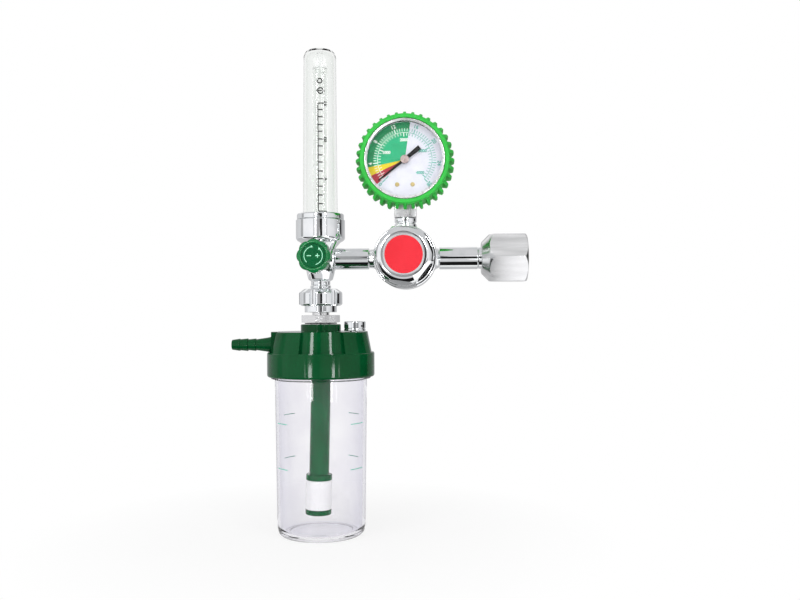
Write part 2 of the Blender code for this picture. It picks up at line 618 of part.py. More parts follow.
def build_regulator():
    centre = (REGULATOR_X, 0, 0)
    edge = 0.0010
    outside = [(0, -BODY_BACK), (BODY_RADIUS * 0.65, -BODY_BACK),
               (BODY_RADIUS * 0.84, -BODY_BACK + 1.5 * edge), (BODY_RADIUS * 0.96, -BODY_BACK + 5 * edge),
               (BODY_RADIUS, -BODY_BACK + 9 * edge), (BODY_RADIUS, BODY_FRONT - edge),
               (BODY_RADIUS - edge, BODY_FRONT), (0, BODY_FRONT)]
    body = piece("regulator_body", turned(outside, ROUND), "front", centre, "chrome")
    inlet_boss = [(0, CHAMBER_FLOOR), (INLET_BOSS_RADIUS + BOSS_FLARE, CHAMBER_FLOOR),
                  (INLET_BOSS_RADIUS + BOSS_FLARE, BODY_RADIUS - BOSS_FLARE),
                  (INLET_BOSS_RADIUS, BODY_RADIUS), (INLET_BOSS_RADIUS, INLET_BOSS_REACH),
                  (0, INLET_BOSS_REACH)]
    shape(body, "UNION", turned(inlet_boss, SMALL), "right", centre)
    outlet_boss = [(0, -OUTLET_BOSS_REACH), (OUTLET_BOSS_RADIUS, -OUTLET_BOSS_REACH),
                   (OUTLET_BOSS_RADIUS, -BODY_RADIUS),
                   (OUTLET_BOSS_RADIUS + BOSS_FLARE, BOSS_FLARE - BODY_RADIUS),
                   (OUTLET_BOSS_RADIUS + BOSS_FLARE, -CHAMBER_FLOOR), (0, -CHAMBER_FLOOR)]
    shape(body, "UNION", turned(outlet_boss, SMALL), "right", centre)
    groove_top = TOP_BOSS_REACH - 0.0025
    top_boss = [(0, CHAMBER_FLOOR), (TOP_BOSS_RADIUS + edge, CHAMBER_FLOOR),
                (TOP_BOSS_RADIUS + edge, BODY_RADIUS - edge), (TOP_BOSS_RADIUS, BODY_RADIUS + edge),
                (TOP_BOSS_RADIUS, groove_top - edge), (TOP_BOSS_RADIUS - edge / 2, groove_top - edge),
                (TOP_BOSS_RADIUS - edge / 2, groove_top), (TOP_BOSS_RADIUS, groove_top),
                (TOP_BOSS_RADIUS, TOP_BOSS_REACH), (0, TOP_BOSS_REACH)]
    shape(body, "UNION", turned(top_boss, MIDDLE), "up", centre)

    past = 0.0010
    shape(body, "DIFFERENCE", rod(CHAMBER_RADIUS, CHAMBER_FLOOR, BODY_FRONT + past, ROUND),
          "front", centre)
    valve_bore = [(0, -BODY_BACK - past), (VALVE_BORE_RADIUS, -BODY_BACK - past),
                  (VALVE_BORE_RADIUS, VALVE_BORE_FLOOR), (ORIFICE_RADIUS, VALVE_BORE_FLOOR),
                  (ORIFICE_RADIUS, CHAMBER_FLOOR + past), (0, CHAMBER_FLOOR + past)]
    shape(body, "DIFFERENCE", turned(valve_bore, MIDDLE), "front", centre)
    socket_radius = SPIGOT_RADIUS + GAP
    inlet_socket = INLET_BOSS_REACH - SPIGOT_LENGTH
    inlet_port = [(0, POPPET_RADIUS), (GAS_BORE, POPPET_RADIUS), (GAS_BORE, inlet_socket),
                  (socket_radius, inlet_socket), (socket_radius, INLET_BOSS_REACH + past),
                  (0, INLET_BOSS_REACH + past)]
    shape(body, "DIFFERENCE", turned(inlet_port, SMALL), "right", centre)
    outlet_socket = OUTLET_BOSS_REACH - SPIGOT_LENGTH
    drop_x = outlet_socket - 0.0025
    outlet_port = [(0, -OUTLET_BOSS_REACH - past), (socket_radius, -OUTLET_BOSS_REACH - past),
                   (socket_radius, -outlet_socket), (ORIFICE_RADIUS, -outlet_socket),
                   (ORIFICE_RADIUS, -drop_x), (0, -drop_x)]
    shape(body, "DIFFERENCE", turned(outlet_port, SMALL), "right", centre)
    shape(body, "DIFFERENCE", rod(ORIFICE_RADIUS * 0.8, 0, CHAMBER_FLOOR + past, TINY),
          "front", (REGULATOR_X - drop_x - 0.0005, 0, 0))
    gauge_socket = TOP_BOSS_REACH - SPIGOT_LENGTH - GAP
    gauge_port = [(0, POPPET_RADIUS), (ORIFICE_RADIUS, POPPET_RADIUS), (ORIFICE_RADIUS, gauge_socket),
                  (socket_radius, gauge_socket), (socket_radius, TOP_BOSS_REACH + past),
                  (0, TOP_BOSS_REACH + past)]
    shape(body, "DIFFERENCE", turned(gauge_port, SMALL), "up", centre)


def build_bonnet():
    centre = (REGULATOR_X, 0, 0)
    corner = BONNET_FLATS / 2 / math.cos(math.pi / 6) + GAP
    outline = across_flats(BONNET_FLATS, BONNET_TURN)
    past = 0.0010
    hex_foot = BONNET_BACK + past
    bonnet = piece("bonnet", prism(outline, BONNET_BACK, BONNET_FACE + past), "front", centre, "chrome")
    nose = [(0, hex_foot), (corner, hex_foot), (corner, BONNET_FACE - 0.0075),
            (BONNET_FLATS / 2 + GAP, BONNET_FACE - 0.0022), (BONNET_FACE_RADIUS, BONNET_FACE),
            (0, BONNET_FACE)]
    shape(bonnet, "INTERSECT", turned(nose, ROUND, math.tau, BONNET_TURN), "front", centre)
    skirt_radius = CHAMBER_RADIUS - GAP
    skirt_end = BONNET_BACK - GAP - BONNET_SKIRT_LENGTH
    flange = [(0, skirt_end), (skirt_radius, skirt_end), (skirt_radius, BONNET_BACK),
              (BONNET_FLANGE_RADIUS, BONNET_BACK), (BONNET_FLANGE_RADIUS, BONNET_HEX_BACK - TUBE_EDGE),
              (BONNET_FLANGE_RADIUS - TUBE_EDGE, BONNET_HEX_BACK), (0, BONNET_HEX_BACK)]
    shape(bonnet, "UNION", turned(flange, ROUND), "front", centre)
    room = [(0, skirt_end - past), (SPRING_ROOM_RADIUS, skirt_end - past),
            (SPRING_ROOM_RADIUS, SPRING_ROOM_TOP), (SCREW_RADIUS + GAP, SPRING_ROOM_TOP),
            (SCREW_RADIUS + GAP, LABEL_FLOOR), (LABEL_RADIUS + GAP, LABEL_FLOOR),
            (LABEL_RADIUS + GAP, BONNET_FACE + past), (0, BONNET_FACE + past)]
    shape(bonnet, "DIFFERENCE", turned(room, MIDDLE + 4), "front", centre)

    piece("bonnet_label", rod(LABEL_RADIUS, LABEL_FLOOR + GAP, BONNET_FACE, ROUND),
          "front", centre, "label_red")
    screw = piece("adjusting_screw", rod(SCREW_RADIUS, BUTTON_FRONT + GAP, LABEL_FLOOR - GAP, SMALL),
                  "front", centre, "steel")
    socket = prism(across_flats(SCREW_RADIUS), LABEL_FLOOR - 0.0040, LABEL_FLOOR + past)
    shape(screw, "DIFFERENCE", socket, "front", centre)
    guide_end = BUTTON_BACK - SPRING_GUIDE_LENGTH
    button = [(0, guide_end), (SPRING_GUIDE_RADIUS, guide_end), (SPRING_GUIDE_RADIUS, BUTTON_BACK),
              (SPRING_ROOM_RADIUS - 2 * GAP, BUTTON_BACK), (SPRING_ROOM_RADIUS - 2 * GAP, BUTTON_FRONT),
              (0, BUTTON_FRONT)]
    piece("spring_button", turned(button, SMALL + 4), "front", centre, "steel")
    coil("main_spring", MAIN_SPRING_RADIUS, MAIN_SPRING_WIRE, MAIN_SPRING_TURNS,
         PISTON_FRONT + GAP, BUTTON_BACK - GAP, "front", centre, "steel")


def build_regulator_valve():
    centre = (REGULATOR_X, 0, 0)
    piston_radius = CHAMBER_RADIUS - GAP - 0.0001
    seal_height = (PISTON_BACK + PISTON_FRONT) / 2
    groove_half = PISTON_SEAL_SECTION + GAP
    groove_floor = piston_radius - 2 * PISTON_SEAL_SECTION
    pin_end = POPPET_FACE + GAP
    guide_end = PISTON_FRONT + SPRING_GUIDE_LENGTH
    piston = [(0, pin_end), (PUSH_PIN_RADIUS, pin_end), (PUSH_PIN_RADIUS, PISTON_BACK),
              (piston_radius, PISTON_BACK), (piston_radius, seal_height - groove_half),
              (groove_floor, seal_height - groove_half), (groove_floor, seal_height + groove_half),
              (piston_radius, seal_height + groove_half), (piston_radius, PISTON_FRONT),
              (SPRING_GUIDE_RADIUS, PISTON_FRONT), (SPRING_GUIDE_RADIUS, guide_end), (0, guide_end)]
    piece("piston", turned(piston, SMALL), "front", centre, "brass")
    seal_radius = groove_floor + 0.0002 + PISTON_SEAL_SECTION
    piece("piston_seal", round_ring(seal_radius, PISTON_SEAL_SECTION, seal_height, SMALL),
          "front", centre, "black")
    piece("valve_seat", ring(ORIFICE_RADIUS + 0.0001, VALVE_BORE_RADIUS - GAP, SEAT_BACK, SEAT_FRONT,
                             SMALL + 4), "front", centre, "white")
    stem_end = POPPET_BACK - POPPET_STEM_LENGTH
    poppet = [(0, stem_end), (POPPET_STEM_RADIUS, stem_end), (POPPET_STEM_RADIUS, POPPET_BACK),
              (POPPET_RADIUS, POPPET_BACK), (POPPET_RADIUS, POPPET_FACE), (0, POPPET_FACE)]
    piece("poppet", turned(poppet, SMALL), "front", centre, "brass")
    coil("poppet_spring", POPPET_SPRING_RADIUS, POPPET_SPRING_WIRE, POPPET_SPRING_TURNS,
         PLUG_FACE + GAP, POPPET_BACK - GAP, "front", centre, "steel")
    head_front = -BODY_BACK - GAP
    head_back = head_front - PLUG_HEAD
    shank = VALVE_BORE_RADIUS - GAP
    guide = POPPET_STEM_RADIUS + GAP
    plug = piece("rear_plug", prism(across_flats(PLUG_FLATS), head_back, PLUG_FACE),
                 "front", centre, "chrome")
    corner = PLUG_FLATS / 2 / math.cos(math.pi / 6) + GAP
    plug_outline = [(0, head_back), (PLUG_FLATS / 2 - GAP, head_back), (corner, head_back + 0.0010),
                    (corner, head_front), (shank, head_front), (shank, PLUG_FACE), (guide, PLUG_FACE),
                    (guide, stem_end - GAP), (0, stem_end - GAP)]
    shape(plug, "INTERSECT", turned(plug_outline, SMALL), "front", centre)


def build_gauge_housing():
    base = (REGULATOR_X, 0, 0)
    hub = (REGULATOR_X, 0, GAUGE_Z)
    half = SHANK_WIDTH / 2
    shank = block(-half, half, -half, half, SHANK_BOTTOM, SHANK_TOP)
    corners = [edge for edge in shank.edges if abs(edge.verts[0].co.z - edge.verts[1].co.z) > GAP]
    bmesh.ops.bevel(shank, geom=corners, offset=0.0007, offset_type="OFFSET", segments=1,
                    profile=0.5, affect="EDGES", material=-1)
    socket = piece("gauge_socket", shank, "up", base, "satin_nickel")
    neck_top = GAUGE_Z - CASE_RADIUS + CASE_WALL + 0.0030
    core = [(0, SHANK_BOTTOM - SPIGOT_LENGTH), (SPIGOT_RADIUS, SHANK_BOTTOM - SPIGOT_LENGTH),
            (SPIGOT_RADIUS, SHANK_BOTTOM + GAP), (SHANK_NECK_RADIUS, SHANK_BOTTOM + GAP),
            (SHANK_NECK_RADIUS, neck_top), (0, neck_top)]
    shape(socket, "UNION", turned(core, SMALL + 4), "up", base)
    block_bottom = GAUGE_Z - CASE_RADIUS + CASE_WALL + 0.0020
    block_front = DIAL_HEIGHT - GAP
    half_block = BLOCK_WIDTH / 2
    shape(socket, "UNION", block(-half_block, half_block, -block_front, BLOCK_BACK,
                                 block_bottom, GAUGE_Z + BLOCK_TOP), "up", base)
    half_lug = LUG_WIDTH / 2
    lug_low = GAUGE_Z + BLOCK_TOP - 0.0010
    shape(socket, "UNION", block(-half_lug, half_lug, GAP, BLOCK_BACK - GAP,
                                 lug_low, GAUGE_Z + BLOCK_TOP + LUG_HEIGHT), "up", base)
    bore_low = SHANK_BOTTOM - SPIGOT_LENGTH - 0.0010
    shape(socket, "DIFFERENCE", rod(0.0010, bore_low, block_bottom + 0.0030, TINY), "up", base)
    for side in (-1, 1):
        hole = rod(0.0008 + GAP, DIAL_HEIGHT - 0.0042, DIAL_HEIGHT, TINY)
        place = (REGULATOR_X + side * DIAL_SCREW_SPACING / 2, 0, GAUGE_Z - DIAL_SCREW_DROP)
        shape(socket, "DIFFERENCE", hole, "front", place)

    inner = CASE_RADIUS - CASE_WALL
    cup = [(0, -CASE_BACK), (CASE_RADIUS - CASE_WALL, -CASE_BACK), (CASE_RADIUS, CASE_WALL - CASE_BACK),
           (CASE_RADIUS, CASE_FRONT), (inner, CASE_FRONT), (inner, CASE_WALL - CASE_BACK),
           (0, CASE_WALL - CASE_BACK)]
    case = piece("gauge_case", turned(cup, ROUND), "front", hub, "chrome")
    shape(case, "DIFFERENCE", rod(SHANK_NECK_RADIUS + GAP, SHANK_TOP - 0.0010, block_bottom + 0.0010,
                                  SMALL + 4), "up", base)
    window_radius = inner
    recess = window_radius + GAP
    lip = CASE_RADIUS - BEZEL_LIP
    bezel = [(recess, BEZEL_BACK), (CASE_RADIUS, BEZEL_BACK), (CASE_RADIUS, BEZEL_FRONT - 0.0006),
             (CASE_RADIUS - 0.0005, BEZEL_FRONT), (lip, BEZEL_FRONT - 0.0003),
             (lip, WINDOW_FRONT + GAP), (recess, WINDOW_FRONT + GAP)]
    piece("gauge_bezel", turned(bezel, ROUND), "front", hub, "chrome")
    piece("gauge_window", rod(window_radius, WINDOW_FRONT - WINDOW_THICKNESS, WINDOW_FRONT, ROUND),
          "front", hub, "clear")
    dial = piece("gauge_dial", rod(inner - GAP, DIAL_HEIGHT, DIAL_FRONT, ROUND),
                 "front", hub, "dial_white")
    past = 0.0010
    shape(dial, "DIFFERENCE", rod(SHAFT_RADIUS + 2 * GAP, DIAL_HEIGHT - past, DIAL_FRONT + past, TINY),
          "front", hub)
    for side, name in ((-1, "dial_screw_left"), (1, "dial_screw_right")):
        place = (REGULATOR_X + side * DIAL_SCREW_SPACING / 2, 0, GAUGE_Z - DIAL_SCREW_DROP)
        hole = rod(0.0008 + GAP, DIAL_HEIGHT - past, DIAL_FRONT + past, TINY)
        shape(dial, "DIFFERENCE", hole, "front", place)
        head_back = DIAL_FRONT + GAP
        screw = turned([(0, DIAL_HEIGHT - 0.0038), (0.0008, DIAL_HEIGHT - 0.0038), (0.0008, head_back),
                        (DIAL_SCREW_RADIUS, head_back), (DIAL_SCREW_RADIUS * 0.8, head_back + 0.0006),
                        (0, head_back + 0.0006)], TINY)
        piece(name, screw, "front", place, "brass")


def build_gauge_boot():
    base = (REGULATOR_X, 0, 0)
    hub = (REGULATOR_X, 0, GAUGE_Z)
    front = BEZEL_FRONT + 0.0007
    teeth_front = front - BOOT_RING_LENGTH
    teeth_back = teeth_front - BOOT_TEETH_LENGTH
    back = -CASE_BACK - GAP - BOOT_BACK_THICKNESS
    valley = BOOT_RING_RADIUS - BOOT_EDGE / 2
    outline = []
    for tooth in range(BOOT_TEETH):
        for share, reach in ((-0.5, valley), (-0.14, BOOT_TIP_RADIUS), (0.14, BOOT_TIP_RADIUS)):
            angle = math.tau * (tooth + share) / BOOT_TEETH
            outline.append((reach * math.cos(angle), reach * math.sin(angle)))
    boot = piece("gauge_boot", prism(outline, teeth_back, teeth_front), "front", hub, "boot_green")
    shell = [(0, back), (BOOT_RING_RADIUS - 0.0020, back), (BOOT_RING_RADIUS, back + 0.0018),
             (BOOT_RING_RADIUS, front - BOOT_EDGE), (BOOT_RING_RADIUS - BOOT_EDGE, front), (0, front)]
    shape(boot, "UNION", turned(shell, BOOT_TEETH, math.tau, math.radians(2)), "front", hub)
    inner = CASE_RADIUS + GAP
    hollow = [(0, back - 0.0010), (BOOT_BACK_OPENING, back - 0.0010),
              (BOOT_BACK_OPENING, back + BOOT_BACK_THICKNESS), (inner, back + BOOT_BACK_THICKNESS),
              (inner, front + 0.0010), (0, front + 0.0010)]
    shape(boot, "DIFFERENCE", turned(hollow, ROUND, math.tau, math.radians(4)), "front", hub)
    slot = SHANK_WIDTH / 2 + GAP
    slot_top = GAUGE_Z - CASE_RADIUS + BOOT_FOOT_CUT
    shape(boot, "DIFFERENCE", block(-slot, slot, -slot, 0.0010 - back, SHANK_BOTTOM, slot_top),
          "up", base)


def gear_points(teeth_full, first_bearing, count, space_first):
    """Teeth of a gear or of a sector, with room between them, as polar (radius, angle) points."""
    pitch_radius = teeth_full * GEAR_MODULE / 2
    tip = pitch_radius + 0.9 * GEAR_MODULE
    root = pitch_radius - 1.1 * GEAR_MODULE
    step = math.tau / teeth_full
    points = []
    for tooth in range(count):
        middle = first_bearing + step * (tooth + (0.5 if space_first else 0.0))
        points += [(root, middle - 0.22 * step), (tip, middle - 0.08 * step),
                   (tip, middle + 0.08 * step), (root, middle + 0.22 * step)]
    return points


def polar(points):
    return [(radius * math.cos(angle), radius * math.sin(angle)) for radius, angle in points]


def build_gauge_movement():
    hub = (REGULATOR_X, 0, GAUGE_Z)
    pivot = (REGULATOR_X + SECTOR_X, 0, GAUGE_Z + SECTOR_Z)
    bearing_radius = SHAFT_RADIUS + GAP
    plate_bottom = BLOCK_TOP + GAP
    plate_outline = [(-PLATE_LEFT, plate_bottom), (PLATE_RIGHT, plate_bottom),
                     (PLATE_RIGHT, PLATE_TOP), (-PLATE_LEFT, PLATE_TOP)]
    front_plate_top = FRONT_PLATE_BACK + PLATE_THICKNESS
    pillars = ((PLATE_RIGHT - PILLAR_INSET, PLATE_TOP - PILLAR_INSET),
               (PILLAR_INSET - PLATE_LEFT, plate_bottom + PILLAR_INSET))
    for name, low, high in (("movement_rear_plate", 0, REAR_PLATE_FRONT),
                            ("movement_front_plate", FRONT_PLATE_BACK, front_plate_top)):
        plate = piece(name, prism(plate_outline, low, high), "front", hub, "brass")
        for centre in (hub, pivot):
            hole = rod(bearing_radius, low - 0.0010, high + 0.0010, TINY)
            shape(plate, "DIFFERENCE", hole, "front", centre)
        if low == 0:
            for right, up in pillars:
                post = rod(PILLAR_RADIUS, low + GAP, FRONT_PLATE_BACK - GAP, TINY)
                shape(plate, "UNION", post, "front", (REGULATOR_X + right, 0, GAUGE_Z + up))

    pinion = piece("pinion", prism(polar(gear_points(PINION_TEETH, SECTOR_BEARING, PINION_TEETH, False)),
                                   GEAR_MID - 0.0010, GEAR_MID + 0.0010), "front", hub, "brass")
    shape(pinion, "UNION", rod(SHAFT_RADIUS, GAP, POINTER_HUB_FRONT - 0.0007, TINY), "front", hub)

    low = GEAR_MID - GEAR_FACE / 2
    high = GEAR_MID + GEAR_FACE / 2
    step = math.tau / SECTOR_TEETH_FULL
    first = SECTOR_BEARING + math.pi - step * (SECTOR_TEETH - 2)
    teeth = gear_points(SECTOR_TEETH_FULL, first, SECTOR_TEETH, True)
    web_end = teeth[-1][1]
    web_start = teeth[0][1]
    hub_radius = 0.0018
    hub_arc = [(hub_radius, web_end + math.radians(25)), (hub_radius, web_end + math.radians(75)),
               (hub_radius, web_end + math.radians(125)), (hub_radius, web_end + math.radians(175))]
    tail = [(hub_radius, SECTOR_TAIL_BEARING - math.radians(50)),
            (SECTOR_TAIL_LENGTH + 0.0009, SECTOR_TAIL_BEARING - math.radians(9)),
            (SECTOR_TAIL_LENGTH + 0.0009, SECTOR_TAIL_BEARING + math.radians(9)),
            (hub_radius, (SECTOR_TAIL_BEARING + web_start) / 2 + math.radians(6))]
    sector = piece("sector_gear", prism(polar(teeth + hub_arc + tail), low, high),
                   "front", pivot, "brass")
    shape(sector, "UNION", rod(SHAFT_RADIUS, GAP, FRONT_PLATE_BACK + PLATE_THICKNESS - GAP, TINY),
          "front", pivot)
    tail_x = SECTOR_TAIL_LENGTH * math.cos(SECTOR_TAIL_BEARING)
    tail_z = SECTOR_TAIL_LENGTH * math.sin(SECTOR_TAIL_BEARING)
    joint = (pivot[0] + tail_x, 0, pivot[2] + tail_z)
    link_back = high + GAP
    link_front = link_back + LINK_THICKNESS
    shape(sector, "UNION", rod(LINK_PIN_RADIUS, low + GAP, link_front + GAP, TINY), "front", joint)

    bracket_left = 0.0116
    bracket_pin = (bracket_left + 0.0012, -0.0020)
    reach_x = bracket_pin[0] - SECTOR_X - tail_x
    reach_z = bracket_pin[1] - SECTOR_Z - tail_z
    length = math.hypot(reach_x, reach_z)
    slant = math.atan2(reach_z, reach_x)
    half_round = [math.radians(angle) for angle in (-90, -45, 0, 45, 90)]
    far = length + 0.0010
    link_outline = [(far + LINK_HALF_WIDTH * math.cos(angle), LINK_HALF_WIDTH * math.sin(angle))
                    for angle in half_round]
    link_outline += [(-LINK_HALF_WIDTH * math.cos(angle), -LINK_HALF_WIDTH * math.sin(angle))
                     for angle in half_round]
    turn = Matrix.Rotation(slant, 4, "Z")
    strip = prism(link_outline, link_back, link_front)
    strip.transform(turn)
    link = piece("link", strip, "front", joint, "brass")
    shape(link, "DIFFERENCE", rod(LINK_PIN_RADIUS + GAP, link_back - 0.0010, link_front + 0.0010, TINY),
          "front", joint)
    slot_half = LINK_PIN_RADIUS + GAP + 0.0001
    slot = block(length - 0.0021, length + 0.0009, -slot_half, slot_half,
                 link_back - 0.0010, link_front + 0.0010)
    slot.transform(turn)
    shape(link, "DIFFERENCE", slot, "front", joint)

    bracket = piece("tip_bracket", prism([(bracket_left, -0.0036), (TUBE_ARC_RADIUS + 0.0013, -0.0036),
                                          (TUBE_ARC_RADIUS + 0.0013, -GAP), (bracket_left, -GAP)],
                                         GEAR_MID - 0.0030, link_back - GAP), "front", hub, "brass")
    shape(bracket, "UNION", rod(LINK_PIN_RADIUS, GEAR_MID, link_front + GAP, TINY), "front",
          (REGULATOR_X + bracket_pin[0], 0, GAUGE_Z + bracket_pin[1]))

    build_bourdon_tube(hub)


def build_bourdon_tube(hub):
    half_depth = TUBE_SECTION_DEPTH / 2
    half_width = TUBE_SECTION_WIDTH / 2
    flat = half_depth - half_width
    section = [(TUBE_ARC_RADIUS - half_width, -flat), (TUBE_ARC_RADIUS, -half_depth),
               (TUBE_ARC_RADIUS + half_width, -flat), (TUBE_ARC_RADIUS + half_width, flat),
               (TUBE_ARC_RADIUS, half_depth), (TUBE_ARC_RADIUS - half_width, flat)]
    outline = [(radius, GEAR_MID - 0.0008 + height) for radius, height in section]
    tube = piece("bourdon_tube", turned(outline, SMALL, TUBE_ARC_END), "front", hub, "brass")
    lumen = []
    middle_height = GEAR_MID - 0.0008
    for radius, height in outline:
        shrink = 1 - TUBE_WALL / half_width
        lumen.append((TUBE_ARC_RADIUS + (radius - TUBE_ARC_RADIUS) * shrink,
                      middle_height + (height - middle_height) * (1 - TUBE_WALL / half_depth)))
    blind = math.radians(3)
    hollow = turned(lumen, SMALL, TUBE_ARC_END, blind)
    shape(tube, "DIFFERENCE", hollow, "front", hub)


def build_pointer():
    hub = (REGULATOR_X, 0, GAUGE_Z)
    blade_back = POINTER_HUB_BACK + 0.0004
    half_tail = POINTER_TAIL_WIDTH / 2
    half_tip = POINTER_TIP_WIDTH / 2
    outline = [(-POINTER_TAIL, -half_tail), (-POINTER_HUB_RADIUS, -half_tail),
               (POINTER_HUB_RADIUS * 0.8, -half_tail * 0.8), (POINTER_LENGTH, -half_tip),
               (POINTER_LENGTH, half_tip), (POINTER_HUB_RADIUS * 0.8, half_tail * 0.8),
               (-POINTER_HUB_RADIUS, half_tail), (-POINTER_TAIL, half_tail)]
    blade = prism(outline, blade_back, blade_back + POINTER_THICKNESS)
    blade.transform(Matrix.Rotation(POINTER_REST, 4, "Z"))
    pointer = piece("pointer", blade, "front", hub, "black")
    shape(pointer, "UNION", rod(POINTER_HUB_RADIUS, POINTER_HUB_BACK, POINTER_HUB_FRONT, SMALL + 4),
          "front", hub)
    shape(pointer, "DIFFERENCE", rod(SHAFT_RADIUS + GAP, POINTER_HUB_BACK - 0.0010,
                                     POINTER_HUB_FRONT - 0.0004, TINY), "front", hub)


def build_flow_body():
    centre = (FLOW_X, 0, 0)
    cup_foot = FLOW_CUP_FLOOR + 0.0017
    outside = [(0, -FLOW_BOTTOM), (FLOW_NECK_RADIUS, -FLOW_BOTTOM), (FLOW_NECK_RADIUS, -0.0142),
               (FLOW_WAIST_RADIUS * 0.85, -0.0140), (FLOW_WAIST_RADIUS, -0.0086),
               (FLOW_WAIST_RADIUS, 0.0072), (FLOW_CUP_RADIUS * 0.80, cup_foot - 0.0009),
               (FLOW_CUP_RADIUS * 0.94, cup_foot), (FLOW_CUP_RADIUS, cup_foot + 0.0010),
               (FLOW_CUP_RADIUS, FLOW_CUP_TOP - TUBE_EDGE), (FLOW_CUP_RADIUS - TUBE_EDGE, FLOW_CUP_TOP),
               (0, FLOW_CUP_TOP)]
    sides = ROUND - 4
    half_step = math.pi / sides
    body = piece("flow_body", turned(outside, sides, math.tau, half_step), "up", centre, "chrome")
    side_boss = [(0, 0.0030), (FLOW_BOSS_RADIUS + 0.0013, 0.0030),
                 (FLOW_BOSS_RADIUS + 0.0011, FLOW_BOSS_REACH - 0.0022), (FLOW_BOSS_RADIUS, FLOW_BOSS_REACH),
                 (0, FLOW_BOSS_REACH)]
    shape(body, "UNION", turned(side_boss, MIDDLE), "right", centre)
    valve_boss = [(0, 0.0030), (VALVE_BOSS_RADIUS, 0.0030), (VALVE_BOSS_RADIUS, VALVE_BOSS_REACH - 0.0010),
                  (VALVE_BOSS_RADIUS - 0.0008, VALVE_BOSS_REACH), (0, VALVE_BOSS_REACH)]
    shape(body, "UNION", turned(valve_boss, MIDDLE), "front", centre)

    past = 0.0010
    side_port = FLOW_BOSS_REACH - SPIGOT_LENGTH / 2 - 2 * GAP
    shape(body, "DIFFERENCE", rod(SPIGOT_RADIUS + GAP, side_port, FLOW_BOSS_REACH + past, SMALL),
          "right", centre)
    cup_bore = FLOW_CUP_RADIUS - FLOW_CUP_WALL
    cup = [(0, -0.0015), (RISER_RADIUS, -0.0015), (RISER_RADIUS, FLOW_CUP_FLOOR),
           (FLOW_WELL_RADIUS, FLOW_CUP_FLOOR), (FLOW_WELL_RADIUS, FLOW_CUP_LEDGE),
           (cup_bore, FLOW_CUP_LEDGE), (cup_bore, FLOW_CUP_TOP + past), (0, FLOW_CUP_TOP + past)]
    shape(body, "DIFFERENCE", turned(cup, MIDDLE + 4), "up", centre)
    return_bore = RISER_RADIUS - 0.0001
    shape(body, "DIFFERENCE", rod(return_bore, -0.0095, FLOW_CUP_FLOOR + past, TINY, half_step),
          "up", (FLOW_X, 0.0055, 0))
    shape(body, "DIFFERENCE", rod(SPIGOT_RADIUS + GAP, -FLOW_BOTTOM - past, -0.0080, SMALL), "up", centre)
    shape(body, "DIFFERENCE", rod(0.0008, 0.0010, side_port + past, TINY - 1), "right",
          (FLOW_X, -0.0037, 0))
    chamber = [(0, 0.0010), (VALVE_ORIFICE_RADIUS, 0.0010), (VALVE_ORIFICE_RADIUS, VALVE_SEAT_HEIGHT),
               (VALVE_CHAMBER_RADIUS, VALVE_SEAT_HEIGHT), (VALVE_CHAMBER_RADIUS, VALVE_BOSS_REACH + past),
               (0, VALVE_BOSS_REACH + past)]
    shape(body, "DIFFERENCE", turned(chamber, SMALL), "front", centre)


